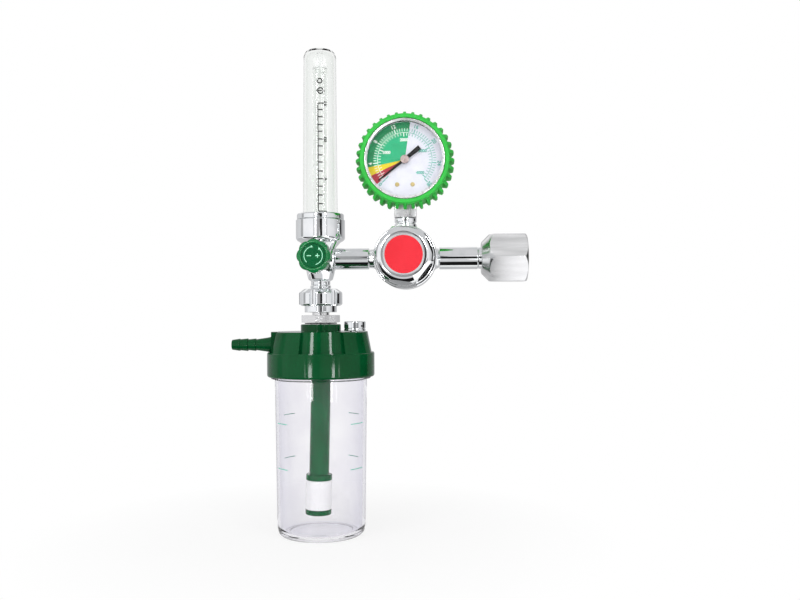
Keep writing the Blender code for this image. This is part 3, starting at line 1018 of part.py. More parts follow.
def build_flow_tube():
    centre = (FLOW_X, 0, 0)
    cup_bore = FLOW_CUP_RADIUS - FLOW_CUP_WALL
    foot_low = FLOW_CUP_FLOOR + GAP
    foot_top = foot_low + FOOT_THICKNESS
    spigot = METER_BORE - GAP
    foot = [(VALVE_ORIFICE_RADIUS, foot_low), (FOOT_RADIUS, foot_low), (FOOT_RADIUS, foot_top),
            (spigot, foot_top), (spigot, foot_top + FOOT_SPIGOT),
            (VALVE_ORIFICE_RADIUS, foot_top + FOOT_SPIGOT)]
    piece("tube_foot", turned(foot, SMALL), "up", centre, "white")
    seal_section = 0.00125
    seal_height = FLOW_CUP_LEDGE + GAP + seal_section
    piece("tube_oring", round_ring(COVER_FLANGE_RADIUS - seal_section, seal_section, seal_height, SMALL),
          "up", centre, "black")
    flange_low = seal_height + seal_section + GAP
    flange_top = flange_low + COVER_FLANGE_THICKNESS
    dome_drop = COVER_TOP - COVER_SHOULDER
    inner_low = COVER_RADIUS - COVER_WALL
    inner_top = COVER_TOP_RADIUS - COVER_WALL
    inside_top = COVER_TOP - 0.0035
    cover = [(inner_low, flange_low), (COVER_FLANGE_RADIUS, flange_low), (COVER_FLANGE_RADIUS, flange_top),
             (COVER_RADIUS, flange_top), (COVER_TOP_RADIUS, COVER_SHOULDER),
             (COVER_TOP_RADIUS * 0.88, COVER_SHOULDER + dome_drop * 0.58),
             (COVER_TOP_RADIUS * 0.55, COVER_SHOULDER + dome_drop * 0.9), (0, COVER_TOP),
             (0, inside_top), (inner_top * 0.9, inside_top - 0.0010), (inner_top, inside_top - 0.0030)]
    piece("outer_tube", turned(cover, ROUND - 4), "up", centre, "clear")
    skirt_low = flange_top + GAP
    collar_low = FLOW_CUP_TOP + GAP
    collar_top = collar_low + COLLAR_HEIGHT
    hole = COVER_RADIUS + GAP
    collar = [(hole, skirt_low), (cup_bore - GAP, skirt_low), (cup_bore - GAP, collar_low),
              (COLLAR_RADIUS, collar_low), (COLLAR_RADIUS, collar_top - 0.0010),
              (COLLAR_RADIUS - 0.0010, collar_top), (hole, collar_top)]
    piece("tube_collar", turned(collar, ROUND - 4), "up", centre, "chrome")
    meter_low = foot_top + GAP
    meter = [(METER_BORE, meter_low), (METER_RADIUS, meter_low), (METER_RADIUS, METER_TOP),
             (METER_TOP_BORE, METER_TOP)]
    piece("metering_tube", turned(meter, SMALL + 4), "up", centre, "clear")
    ball_place = (FLOW_X, 0, foot_top + FOOT_SPIGOT + GAP + BALL_RADIUS)
    ball = bmesh.new()
    bmesh.ops.create_uvsphere(ball, u_segments=SMALL, v_segments=TINY - 2, radius=BALL_RADIUS)
    piece("float_ball", ball, "up", ball_place, "steel")
    flange = METER_TOP + GAP
    plug = [(0, METER_TOP - PLUG_SPIGOT_LENGTH), (METER_TOP_BORE - 2 * GAP, METER_TOP - PLUG_SPIGOT_LENGTH),
            (METER_TOP_BORE - 2 * GAP, flange), (METER_RADIUS, flange),
            (METER_RADIUS, flange + PLUG_FLANGE_THICKNESS), (0.0016, flange + PLUG_FLANGE_THICKNESS),
            (0.0016, inside_top - 2 * GAP), (0, inside_top - 2 * GAP)]
    piece("tube_plug", turned(plug, SMALL), "up", centre, "white")


def build_needle_valve():
    centre = (FLOW_X, 0, 0)
    stem_front = KNOB_BACK + KNOB_LENGTH - 0.0043
    stem = [(0, STEM_TIP_HEIGHT), (GAP, STEM_TIP_HEIGHT), (STEM_RADIUS, STEM_TIP_HEIGHT + STEM_CONE_LENGTH),
            (STEM_RADIUS, stem_front), (0, stem_front)]
    piece("needle_stem", turned(stem, SMALL), "front", centre, "brass")
    shank_end = VALVE_BOSS_REACH - 0.0055
    head_back = VALVE_BOSS_REACH + GAP
    head_front = head_back + GLAND_LENGTH
    hole = STEM_RADIUS + GAP
    shank = VALVE_CHAMBER_RADIUS - GAP
    corner = GLAND_FLATS / 2 / math.cos(math.pi / 6) + GAP
    gland = piece("valve_gland", prism(across_flats(GLAND_FLATS), shank_end, head_front),
                  "front", centre, "chrome")
    outline = [(hole, shank_end), (shank, shank_end), (shank, head_back), (corner, head_back),
               (corner, head_front - 0.0010), (GLAND_FLATS / 2 - GAP, head_front), (hole, head_front)]
    shape(gland, "INTERSECT", turned(outline, SMALL), "front", centre)

    knob_face = KNOB_BACK + KNOB_LENGTH
    disc_floor = knob_face - KNOB_RIM
    room = KNOB_DISC_RADIUS + GAP
    knob = piece("knob", prism(lobed(KNOB_RADIUS, KNOB_LOBE_DEPTH, KNOB_LOBES, 4), KNOB_BACK, knob_face),
                 "front", centre, "knob_green")
    wide = KNOB_RADIUS + GAP
    outline = [(0, stem_front + GAP), (hole, stem_front + GAP), (hole, KNOB_BACK + 0.0030),
               (KNOB_DISC_RADIUS, KNOB_BACK + 0.0030), (KNOB_DISC_RADIUS, KNOB_BACK),
               (wide - 0.0010, KNOB_BACK), (wide, KNOB_BACK + 0.0010), (wide, knob_face - 0.0016),
               (wide - 0.0014, knob_face - 0.0003), (wide - 0.0022, knob_face),
               (room, knob_face - 0.0003), (room, disc_floor), (0, disc_floor)]
    shape(knob, "INTERSECT", turned(outline, 2 * KNOB_LOBES), "front", centre)
    piece("knob_disc", rod(KNOB_DISC_RADIUS, disc_floor + GAP, disc_floor + GAP + KNOB_DISC_THICKNESS,
                           MIDDLE + 4), "front", centre, "knob_green")


def build_coupling():
    centre = (FLOW_X, 0, 0)
    shank_top = NIPPLE_RING_TOP + 0.0070
    nipple = [(GAS_BORE, NIPPLE_END), (NIPPLE_FLANGE_RADIUS * 0.6, NIPPLE_END),
              (NIPPLE_FLANGE_RADIUS * 0.75, NIPPLE_FLANGE_BOTTOM), (NIPPLE_FLANGE_RADIUS, NIPPLE_FLANGE_BOTTOM),
              (NIPPLE_FLANGE_RADIUS, NIPPLE_FLANGE_TOP), (NIPPLE_NECK_RADIUS, NIPPLE_FLANGE_TOP),
              (NIPPLE_NECK_RADIUS, NIPPLE_RING_BOTTOM), (NIPPLE_RING_RADIUS, NIPPLE_RING_BOTTOM),
              (NIPPLE_RING_RADIUS, NIPPLE_RING_TOP), (SPIGOT_RADIUS, NIPPLE_RING_TOP),
              (SPIGOT_RADIUS, shank_top), (GAS_BORE, shank_top)]
    piece("outlet_nipple", turned(nipple, SMALL), "up", centre, "chrome")

    flutes_bottom = COUPLING_TOP - COUPLING_FLUTES_LENGTH
    nut = piece("coupling_nut", prism(lobed(COUPLING_RADIUS, COUPLING_LOBE_DEPTH, COUPLING_LOBES, 4),
                                      COUPLING_BOTTOM, COUPLING_TOP), "up", centre, "chrome")
    hole = NIPPLE_NECK_RADIUS + GAP
    wide = COUPLING_RADIUS + GAP
    outline = [(hole, COUPLING_TOP), (hole, COUPLING_TOP - COUPLING_WALL),
               (COUPLING_ROOM_RADIUS, COUPLING_TOP - COUPLING_WALL), (COUPLING_ROOM_RADIUS, COUPLING_BOTTOM),
               (COUPLING_COLLAR_RADIUS, COUPLING_BOTTOM), (COUPLING_COLLAR_RADIUS, flutes_bottom),
               (wide - 0.0012, flutes_bottom), (wide, flutes_bottom + 0.0009), (wide, COUPLING_TOP - 0.0024),
               (COUPLING_RADIUS * 0.76, COUPLING_TOP)]
    shape(nut, "INTERSECT", turned(outline, 2 * COUPLING_LOBES), "up", centre)

    thread_top = NIPPLE_END - GAP
    insert = piece("hex_insert", prism(across_flats(INSERT_FLATS, INSERT_TURN), INSERT_BOTTOM, thread_top),
                   "up", centre, "satin_nickel")
    thread = COUPLING_ROOM_RADIUS - GAP
    thread_low = COUPLING_BOTTOM + 0.0006
    outline = [(GAS_BORE, INSERT_BOTTOM), (INSERT_SHANK_RADIUS, INSERT_BOTTOM),
               (INSERT_SHANK_RADIUS, INSERT_HEX_BOTTOM)]
    outline += chamfered(INSERT_FLATS, INSERT_HEX_BOTTOM, INSERT_HEX_TOP, 0.0011)
    outline += [(NIPPLE_NECK_RADIUS, INSERT_HEX_TOP), (NIPPLE_NECK_RADIUS, thread_low),
                (thread, thread_low), (thread, thread_top), (GAS_BORE, thread_top)]
    shape(insert, "INTERSECT", turned(outline, SMALL, math.tau, INSERT_TURN), "up", centre)
    gasket_top = INSERT_HEX_BOTTOM - GAP
    piece("insert_gasket", ring(INSERT_SHANK_RADIUS + GAP, INSERT_FLATS / 2 - 0.0007,
                                gasket_top - GASKET_THICKNESS, gasket_top, MIDDLE), "up", centre, "black")


def build_lid():
    centre = (FLOW_X, 0, 0)
    ledge_inner = BOTTLE_RADIUS - 0.0033
    skirt_inner = LID_SKIRT_RADIUS - LID_SKIRT_WALL
    ceiling = LID_SHOULDER - LID_CEILING
    inner_boss_bottom = ceiling - LID_INNER_BOSS_HEIGHT
    edge = 0.0008
    outline = [(LID_BORE, LID_TOP), (LID_BOSS_RADIUS - edge, LID_TOP), (LID_BOSS_RADIUS, LID_TOP - edge),
               (LID_BOSS_RADIUS, LID_SHOULDER), (LID_TIER_RADIUS - edge, LID_SHOULDER),
               (LID_TIER_RADIUS, LID_SHOULDER - edge), (LID_TIER_FOOT_RADIUS, LID_STEP),
               (LID_SKIRT_RADIUS, LID_STEP - edge / 2), (LID_SKIRT_RADIUS, LID_BOTTOM + 2 * edge),
               (LID_SKIRT_RADIUS - edge, LID_BOTTOM), (skirt_inner, LID_BOTTOM), (skirt_inner, LID_LEDGE),
               (ledge_inner, LID_LEDGE), (ledge_inner * 0.84, ceiling),
               (LID_INNER_BOSS_RADIUS, ceiling), (LID_INNER_BOSS_RADIUS, inner_boss_bottom),
               (LID_BORE, inner_boss_bottom)]
    lid = piece("lid", turned(outline, FINE, math.tau, math.pi / FINE), "up", centre, "lid_green")
    past = 0.0010
    floor_top = LID_TIER_RADIUS - LID_RECESS_DEPTH
    for side in range(LID_RECESSES):
        middle = math.tau * side / LID_RECESSES
        recess = [(floor_top, LID_SHOULDER + past), (LID_SKIRT_RADIUS + past, LID_SHOULDER + past),
                  (LID_SKIRT_RADIUS + past, LID_STEP + GAP), (LID_TIER_FOOT_RADIUS - edge, LID_STEP + GAP)]
        cutter = turned(recess, TINY // 2, LID_RECESS_ANGLE, middle - LID_RECESS_ANGLE / 2)
        shape(lid, "DIFFERENCE", cutter, "up", centre)

    barb_z = LID_SHOULDER - BARB_DROP
    recess_face = FLOW_X - LID_TIER_RADIUS
    tip = recess_face - BARB_LENGTH
    steps = [tip + BARB_STEP_LENGTH * count for count in range(4)]
    barb = [(0, tip), (BARB_RADIUS * 0.78, tip), (BARB_RADIUS * 0.97, steps[1]),
            (BARB_RADIUS * 0.88, steps[1] + GAP), (BARB_RADIUS, steps[2]),
            (BARB_RADIUS * 0.86, steps[2] + GAP), (BARB_RADIUS * 0.89, steps[3]),
            (BARB_RADIUS * 1.28, recess_face - 0.0005), (BARB_RADIUS * 0.95, recess_face + 0.0008),
            (BARB_RADIUS * 0.95, recess_face + 0.0045), (0, recess_face + 0.0045)]
    shape(lid, "UNION", turned(barb, SMALL), "right", (0, 0, barb_z))
    shape(lid, "DIFFERENCE", rod(BARB_BORE, tip - past, FLOW_X - ledge_inner * 0.84, TINY,
                                 math.pi / TINY), "right", (0, 0, barb_z))
    shape(lid, "DIFFERENCE", rod(RELIEF_STEM_RADIUS + GAP, LID_STEP + 0.0040, LID_SHOULDER + past, SMALL),
          "up", (FLOW_X + RELIEF_OFFSET, 0, 0))
    piece("lid_gasket", ring(ledge_inner + 0.0006, skirt_inner - GAP, LID_LEDGE - GAP - GASKET_THICKNESS,
                             LID_LEDGE - GAP, ROUND), "up", centre, "white")


def build_relief_valve():
    place = (FLOW_X + RELIEF_OFFSET, 0, 0)
    seat_low = LID_SHOULDER + GAP
    seat = seat_low + RELIEF_FLANGE_HEIGHT
    body = [(0.0013, LID_SHOULDER - 0.0050), (RELIEF_STEM_RADIUS, LID_SHOULDER - 0.0050),
            (RELIEF_STEM_RADIUS, seat_low), (RELIEF_FLANGE_RADIUS, seat_low),
            (RELIEF_FLANGE_RADIUS, seat), (0.0013, seat)]
    piece("relief_body", turned(body, SMALL), "up", place, "chrome")
    cap_top = seat_low + RELIEF_CAP_HEIGHT
    roof = cap_top - 0.0011
    room = RELIEF_FLANGE_RADIUS + GAP
    cap = [(room, seat_low), (RELIEF_CAP_RADIUS, seat_low), (RELIEF_CAP_RADIUS, cap_top - 0.0006),
           (RELIEF_CAP_RADIUS - 0.0006, cap_top), (0, cap_top), (0, roof), (room, roof)]
    shell = piece("relief_cap", turned(cap, SMALL + 4), "up", place, "chrome")
    vent_height = seat + 0.0014
    for vent in range(VENTS):
        bearing = math.radians(-46) + math.tau * vent / VENTS
        hole = rod(VENT_RADIUS, room - 0.0010, RELIEF_CAP_RADIUS + 0.0010, TINY)
        hole.transform(Matrix.Rotation(bearing, 4, "Z") @ FACING["right"])
        shape(shell, "DIFFERENCE", hole, "up", (place[0], 0, vent_height))
    disc_low = seat + GAP
    disc_top = disc_low + RELIEF_POPPET_THICKNESS
    poppet = [(0, disc_low), (RELIEF_POPPET_RADIUS, disc_low), (RELIEF_POPPET_RADIUS, disc_top),
              (0.0008, disc_top), (0.0008, disc_top + 0.0008), (0, disc_top + 0.0008)]
    piece("relief_poppet", turned(poppet, SMALL), "up", place, "white")
    coil("relief_spring", RELIEF_SPRING_RADIUS, RELIEF_SPRING_WIRE, RELIEF_SPRING_TURNS,
         disc_top + GAP, roof - GAP, "up", place, "steel")


def build_humidifier_inside():
    centre = (FLOW_X, 0, 0)
    dip_spigot = DIP_BORE - 2 * GAP
    throat = dip_spigot - 0.0010
    spigot_end = DIP_COLLAR_BOTTOM - PIN_FIT
    dip = [(DIP_BORE, DIP_TOP), (DIP_RADIUS, DIP_TOP), (DIP_RADIUS, DIP_COLLAR_TOP),
           (DIP_COLLAR_RADIUS, DIP_COLLAR_TOP), (DIP_COLLAR_RADIUS, DIP_COLLAR_BOTTOM),
           (dip_spigot, DIP_COLLAR_BOTTOM), (dip_spigot, spigot_end), (throat, spigot_end),
           (throat, DIP_COLLAR_TOP), (DIP_BORE, DIP_COLLAR_TOP + 0.0010)]
    piece("dip_tube", turned(dip, SMALL), "up", centre, "lid_green")
    cap_spigot = 0.0033
    cap_reach = DIFFUSER_CAP_TOP + 0.0050
    porous = [(0, spigot_end - GAP), (dip_spigot + GAP, spigot_end - GAP), (dip_spigot + GAP, DIFFUSER_TOP),
              (DIP_COLLAR_RADIUS, DIFFUSER_TOP), (DIP_COLLAR_RADIUS, DIFFUSER_BOTTOM),
              (cap_spigot + GAP, DIFFUSER_BOTTOM), (cap_spigot + GAP, cap_reach + GAP),
              (0, cap_reach + GAP)]
    piece("diffuser", turned(porous, SMALL), "up", centre, "white")
    cap_bottom = DIFFUSER_CAP_TOP - DIFFUSER_CAP_LENGTH
    cap = [(0, cap_bottom), (DIFFUSER_CAP_RADIUS - 0.0007, cap_bottom),
           (DIFFUSER_CAP_RADIUS, cap_bottom + 0.0007), (DIFFUSER_CAP_RADIUS, DIFFUSER_CAP_TOP),
           (cap_spigot, DIFFUSER_CAP_TOP), (cap_spigot, cap_reach), (0, cap_reach)]
    piece("diffuser_cap", turned(cap, SMALL), "up", centre, "lid_green")


def build_bottle():
    centre = (FLOW_X, 0, 0)
    neck = LID_BOTTOM - 0.0010
    inner = BOTTLE_RADIUS - BOTTLE_WALL
    inner_base = BOTTLE_BASE_RADIUS - BOTTLE_WALL
    floor = BOTTLE_BOTTOM + BOTTLE_BASE
    outline = [(inner, BOTTLE_TOP), (BOTTLE_RADIUS, BOTTLE_TOP), (BOTTLE_RADIUS, neck),
               (BOTTLE_BASE_RADIUS, BOTTLE_BOTTOM + 0.0060), (BOTTLE_BASE_RADIUS * 0.97, BOTTLE_BOTTOM + 0.0023),
               (BOTTLE_BASE_RADIUS * 0.89, BOTTLE_BOTTOM), (BOTTLE_BASE_RADIUS * 0.77, BOTTLE_BOTTOM),
               (BOTTLE_BASE_RADIUS * 0.72, BOTTLE_BOTTOM + 0.0010), (0, BOTTLE_BOTTOM + 0.0012),
               (0, floor), (inner_base * 0.88, floor), (inner_base, floor + 0.0030), (inner, neck)]
    piece("bottle", turned(outline, FINE), "up", centre, "clear")


clear_scene()
build_inlet()
build_outlet_tube()
build_regulator()
build_bonnet()
build_regulator_valve()
build_gauge_housing()
build_gauge_boot()
build_gauge_movement()
build_pointer()
build_flow_body()
build_flow_tube()
build_needle_valve()
build_coupling()
build_lid()
build_relief_valve()
build_humidifier_inside()
build_bottle()
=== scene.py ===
# %% [markdown]
# # Dressing an oxygen flowmeter set
# The solids of the set come from its CAD source: a regulator with a gauge, a flow tube with a needle
# valve, and a humidifier bottle. They are true in size but coarse and plain. This lesson gives each
# visible piece a finely turned shape in the same place, and every surface a finish of its own.

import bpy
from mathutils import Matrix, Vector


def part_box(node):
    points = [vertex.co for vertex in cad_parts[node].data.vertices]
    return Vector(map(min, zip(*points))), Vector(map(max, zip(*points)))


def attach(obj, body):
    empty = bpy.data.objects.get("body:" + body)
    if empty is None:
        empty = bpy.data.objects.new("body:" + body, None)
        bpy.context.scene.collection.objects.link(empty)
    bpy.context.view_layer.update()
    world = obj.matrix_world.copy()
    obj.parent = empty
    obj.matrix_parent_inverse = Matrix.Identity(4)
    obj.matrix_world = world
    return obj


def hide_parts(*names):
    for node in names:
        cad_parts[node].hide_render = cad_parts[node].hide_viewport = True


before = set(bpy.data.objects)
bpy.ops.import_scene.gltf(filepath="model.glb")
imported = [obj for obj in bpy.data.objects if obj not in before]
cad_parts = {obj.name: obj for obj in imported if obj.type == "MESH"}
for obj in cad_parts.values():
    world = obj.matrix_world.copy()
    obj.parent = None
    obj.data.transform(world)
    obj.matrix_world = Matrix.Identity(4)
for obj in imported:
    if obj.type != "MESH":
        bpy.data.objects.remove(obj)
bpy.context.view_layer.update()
print("solids in the set:", len(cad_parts))

# %% [markdown]
# Lengths are easier to read in millimetres, so one factor turns them into Blender's metres. The two
# upright axes are read from the solids themselves: if a tube is ever made longer in the source, the
# dressed pieces move along with it.

# %% The axes that every piece is turned about
import math

import bmesh
import bpy
from mathutils import Matrix, Vector

MM = 0.001


def middle_of(node):
    low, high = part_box(node)
    return (low + high) / 2 / MM


flow_x = middle_of("outer_tube").x
regulator_x = middle_of("gauge_case").x
gauge_z = middle_of("gauge_case").z
print("axes in mm:", round(flow_x, 2), round(regulator_x, 2), round(gauge_z, 2))

# %% [markdown]
# Nearly every piece of such a set is turned on a lathe or moulded round. A lathe part is a half
# outline that is spun about an axis. A real edge is never quite sharp, so each corner of the outline
# may carry a radius, and Blender's bevel rounds it before the spin. An outline could also be drawn
# as a curve with a Screw modifier, but the spin keeps everything in one mesh with closed seams.

# %% Outlines with rounded corners
STEPS = 96


def swung(bm, angle, axis="Z"):
    """Turn a mesh about an axis through the middle."""
    bmesh.ops.rotate(bm, verts=bm.verts[:], cent=(0, 0, 0), matrix=Matrix.Rotation(angle, 3, axis))
    return bm


def moved(bm, where):
    bmesh.ops.translate(bm, verts=bm.verts[:], vec=where)
    return bm


def outline(points, arc=3):
    """A flat outline of (radius, height) corners in millimetres; a third number rounds the corner."""
    bm = bmesh.new()
    corners = [bm.verts.new((point[0] * MM, 0, point[1] * MM)) for point in points]
    rounding = [point[2] if len(point) > 2 else 0 for point in points]
    bm.faces.new(corners)
    for width in sorted(set(rounding) - {0}):
        chosen = [vert for vert, soft in zip(corners, rounding) if soft == width]
        bmesh.ops.bevel(bm, geom=chosen, offset=width * MM, offset_type="OFFSET", segments=arc,
                        profile=0.5, affect="VERTICES", material=-1, clamp_overlap=True)
    bmesh.ops.delete(bm, geom=bm.faces[:], context="FACES_ONLY")
    on_axis = [edge for edge in bm.edges if all(vert.co.x < 1e-7 for vert in edge.verts)]
    bmesh.ops.delete(bm, geom=on_axis, context="EDGES")
    return bm


def spun(points, steps=STEPS, arc=3, turn=math.tau, start=0.0):
    """The outline, turned about its own axis into a closed body."""
    bm = outline(points, arc)
    whole = abs(turn - math.tau) < 1e-06
    bmesh.ops.spin(bm, geom=bm.verts[:] + bm.edges[:], cent=(0, 0, 0), axis=(0, 0, 1), angle=turn,
                   steps=steps, use_merge=whole, use_duplicate=False)
    bmesh.ops.remove_doubles(bm, verts=bm.verts[:], dist=1e-7)
    if not whole:
        bmesh.ops.holes_fill(bm, edges=bm.edges[:], sides=0)
    swung(bm, start)
    bmesh.ops.recalc_face_normals(bm, faces=bm.faces[:])
    return bm


def ring(inner, outer, low, high, steps=48):
    """A sharp-edged ring; with no inner radius it is a pin, for boring."""
    return spun([(inner, low), (outer, low), (outer, high), (inner, high)], steps)


test = spun([(2, 0, 0.3), (5, 0, 0.3), (5, 4, 0.3), (2, 4, 0.3)])
print("a plain rounded ring has", len(test.faces), "faces")
test.free()

# %% [markdown]
# A piece is turned about its own upright axis and then faced one of three ways: up, towards the
# person who reads the dial, or to the right along the gas line. The place goes into the mesh and the
# object stays at the origin, because the CAD frame works that way. Each piece then rides on the
# moving body that it belongs to, and stands in for its plain solid.

# %% Facing a piece and hanging it on its body
FACING = {
    "up": Matrix.Identity(4),
    "front": Matrix.Rotation(math.radians(90), 4, "X"),
    "right": Matrix.Rotation(math.radians(90), 4, "Y"),
}


def put(bm, facing="up", x=0.0, z=0.0, y=0.0):
    bm.transform(Matrix.Translation((x * MM, y * MM, z * MM)) @ FACING[facing])
    return bm


def on_column(bm):
    return put(bm, "up", flow_x)


def on_drum(bm):
    return put(bm, "front", regulator_x)


def on_gauge(bm):
    return put(bm, "front", regulator_x, gauge_z)


def show(name, bm, finish, stands_for=None, body="set", crease=32, edge_round=0.0):
    """Make the object, smooth it up to a crease angle, and hang it on its body.

    It stands for a node, or is a print or a cap that a node carries.
    """
    mesh = bpy.data.meshes.new(name)
    bm.to_mesh(mesh)
    bm.free()
    mesh.shade_smooth()
    mesh.set_sharp_from_angle(angle=math.radians(crease))
    mesh.materials.append(finish)
    thing = bpy.data.objects.new(name, mesh)
    bpy.context.scene.collection.objects.link(thing)
    if edge_round:
        softer = thing.modifiers.new("softer edges", "BEVEL")
        softer.width = edge_round * MM
        softer.segments = 2
        softer.limit_method = "ANGLE"
        softer.angle_limit = math.radians(crease)
    flatter = thing.modifiers.new("true bands", "WEIGHTED_NORMAL")
    flatter.mode = "FACE_AREA"
    flatter.keep_sharp = True
    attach(thing, body)
    if stands_for:
        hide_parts(stands_for)


# %% [markdown]
# Forged and moulded pieces join several round forms, and some are bored out. A Boolean does this on
# two closed meshes. It is worked out at once and the helpers are thrown away, so that only the
# finished mesh stays in the scene.

# %% Joining, boring and trimming closed meshes
def merged_form(first, second, how):
    blanks = []
    for bm in (first, second):
        mesh = bpy.data.meshes.new("blank")
        bm.to_mesh(mesh)
        bm.free()
        blanks.append(bpy.data.objects.new("blank", mesh))
        bpy.context.scene.collection.objects.link(blanks[-1])
    change = blanks[0].modifiers.new("form", "BOOLEAN")
    change.operation = how
    change.solver = "EXACT"
    change.object = blanks[1]
    result = bmesh.new()
    result.from_object(blanks[0], bpy.context.evaluated_depsgraph_get())
    for blank in blanks:
        mesh = blank.data
        bpy.data.objects.remove(blank)
        bpy.data.meshes.remove(mesh)
    bmesh.ops.remove_doubles(result, verts=result.verts[:], dist=1e-7)
    return result


def joined(first, second):
    return merged_form(first, second, "UNION")


def bored(first, second):
    return merged_form(first, second, "DIFFERENCE")


def trimmed(first, second):
    return merged_form(first, second, "INTERSECT")


def many_sided(flats, low, high, sides=6, turn=0.0):
    """A bar with flat sides, such as a hexagon, between two heights."""
    bm = bmesh.new()
    radius = flats / 2 / math.cos(math.pi / sides) * MM
    bmesh.ops.create_cone(bm, cap_ends=True, segments=sides, radius1=radius, radius2=radius,
                          depth=(high - low) * MM, matrix=Matrix.Rotation(turn - math.pi / 2, 4, "Z"))
    moved(bm, (0, 0, (high + low) / 2 * MM))
    return bm


def bar(left, right, near, far, low, high):
    """A square bar between two x, two y and two z values in millimetres."""
    bm = bmesh.new()
    bmesh.ops.create_cube(bm, size=1.0)
    bmesh.ops.scale(bm, verts=bm.verts[:], vec=((right - left) * MM, (far - near) * MM, (high - low) * MM))
    middle = Vector((left + right, near + far, low + high)) / 2 * MM
    moved(bm, middle)
    return bm


def together(*forms):
    """Several separate forms in one mesh."""
    whole = bmesh.new()
    for bm in forms:
        mesh = bpy.data.meshes.new("part of a whole")
        bm.to_mesh(mesh)
        bm.free()
        whole.from_mesh(mesh)
        bpy.data.meshes.remove(mesh)
    return whole


# %% [markdown]
# ## Finishes
# A finish is more than a colour. Light shows the small things: the haze of polishing, the grain of a
# brushed flat, the orange peel of moulded plastic. Each finish below starts from one shader, and a
# noise on the object's own coordinates varies its colour, its roughness and its surface a little.

# %% Tools for finishes
def new_finish(name, roughness=0.4, metal=0.0):
    finish = bpy.data.materials.new(name)
    finish.use_nodes = True
    nodes = finish.node_tree.nodes
    shader = nodes["Principled BSDF"]
    shader.inputs["Metallic"].default_value = metal
    shader.inputs["Roughness"].default_value = roughness
    return finish, nodes, finish.node_tree.links, shader


def object_place(nodes, links, change="Location", values=(0, 0, 0)):
    """The object's own coordinates, shifted or stretched."""
    place = nodes.new("ShaderNodeTexCoord")
    aim = nodes.new("ShaderNodeMapping")
    aim.inputs[change].default_value = values
    links.new(place.outputs["Object"], aim.inputs["Vector"])
    return aim.outputs["Vector"]


def calculated(nodes, links, how, *values):
    """A math node fed by sockets and plain numbers."""
    step = nodes.new("ShaderNodeMath")
    step.operation = how
    for socket, value in zip(step.inputs, values):
        if isinstance(value, (int, float)):
            socket.default_value = value
        else:
            links.new(value, socket)
    return step.outputs["Value"]


def grain(nodes, links, scale, detail=3.0, stretch=(1, 1, 1)):
    """Noise on object coordinates; scale counts the spots in a metre."""
    noise = nodes.new("ShaderNodeTexNoise")
    noise.inputs["Scale"].default_value = scale
    noise.inputs["Detail"].default_value = detail
    links.new(object_place(nodes, links, "Scale", stretch), noise.inputs["Vector"])
    return noise.outputs["Fac"]


def blend_colours(nodes, links, source, low, high, start=0.35, end=0.65):
    """Turn a grey pattern into two neighbouring colours."""
    ramp = nodes.new("ShaderNodeValToRGB")
    ramp.color_ramp.elements[0].position = start
    ramp.color_ramp.elements[0].color = (*low, 1)
    ramp.color_ramp.elements[1].position = end
    ramp.color_ramp.elements[1].color = (*high, 1)
    links.new(source, ramp.inputs["Fac"])
    return ramp.outputs["Color"]


def spread(nodes, links, source, low, high, start=0.3, end=0.7):
    """Turn a grey pattern into a range of numbers, such as a roughness."""
    reach = nodes.new("ShaderNodeMapRange")
    reach.inputs["From Min"].default_value = start
    reach.inputs["From Max"].default_value = end
    reach.inputs["To Min"].default_value = low
    reach.inputs["To Max"].default_value = high
    links.new(source, reach.inputs["Value"])
    return reach.outputs["Result"]


def relief(nodes, links, shader, source, strength, depth):
    """Raise and lower the surface by a grey pattern; depth is in millimetres."""
    bump = nodes.new("ShaderNodeBump")
    bump.inputs["Strength"].default_value = strength
    bump.inputs["Distance"].default_value = depth * MM
    links.new(source, bump.inputs["Height"])
    links.new(bump.outputs["Normal"], shader.inputs["Normal"])


def plain(hex_colour):
    """A screen colour as the linear values that the shader takes."""
    values = [int(hex_colour[i:i + 2], 16) / 255 for i in (0, 2, 4)]
    return tuple(v / 12.92 if v <= 0.04045 else ((v + 0.055) / 1.055) ** 2.4 for v in values)


print("a middle green is", [round(v, 3) for v in plain("165c2d")])

# %% [markdown]
# Chrome plating over brass is the set's main finish. It mirrors the room, so its own pattern has to
# be very quiet: a faint buffing haze in the roughness and hardly any relief. A pure mirror would look
# like drawing software, and a rough metal would look like steel.

# %% Chrome, satin nickel, brass and steel
def metal_finish(name, light, dark, rough_low, rough_high, scale, stretch=(1, 1, 1), wear=0.02, depth=0.01):
    finish, nodes, links, shader = new_finish(name, rough_high, 1.0)
    haze = grain(nodes, links, scale, 4.0, stretch)
    links.new(blend_colours(nodes, links, haze, plain(dark), plain(light)), shader.inputs["Base Color"])
    links.new(spread(nodes, links, haze, rough_low, rough_high), shader.inputs["Roughness"])
    fine = grain(nodes, links, scale * 6, 2.0, stretch)
    relief(nodes, links, shader, fine, wear, depth)
    return finish


chrome = metal_finish("chrome plate", "f6f7f8", "eceff0", 0.03, 0.075, 130)
satin_nickel = metal_finish("satin nickel", "f2f2f2", "dcdcdc", 0.16, 0.26, 260, (0.1, 1, 1), 0.12, 0.03)
hexagon_nickel = metal_finish("turned hexagon nickel", "ececec", "e2e2e2", 0.14, 0.2, 120, (1, 1, 0.2), 0.04,
                              0.02)
bezel_nickel = metal_finish("soft white bezel", "f4f4f4", "e9e9e9", 0.22, 0.34, 300, (1, 1, 1), 0.08, 0.02)
brushed_shank = metal_finish("brushed nickel shank", "dadada", "c9c9c9", 0.22, 0.36, 300, (1, 1, 0.1), 0.1,
                             0.03)
brass = metal_finish("turned brass", "d8b878", "c39f5c", 0.2, 0.34, 240)
screw_brass = metal_finish("pale screw brass", "d9c68e", "cdb87c", 0.4, 0.5, 700)
spring_steel = metal_finish("spring steel", "b9bcc0", "9fa3a8", 0.18, 0.3, 420)
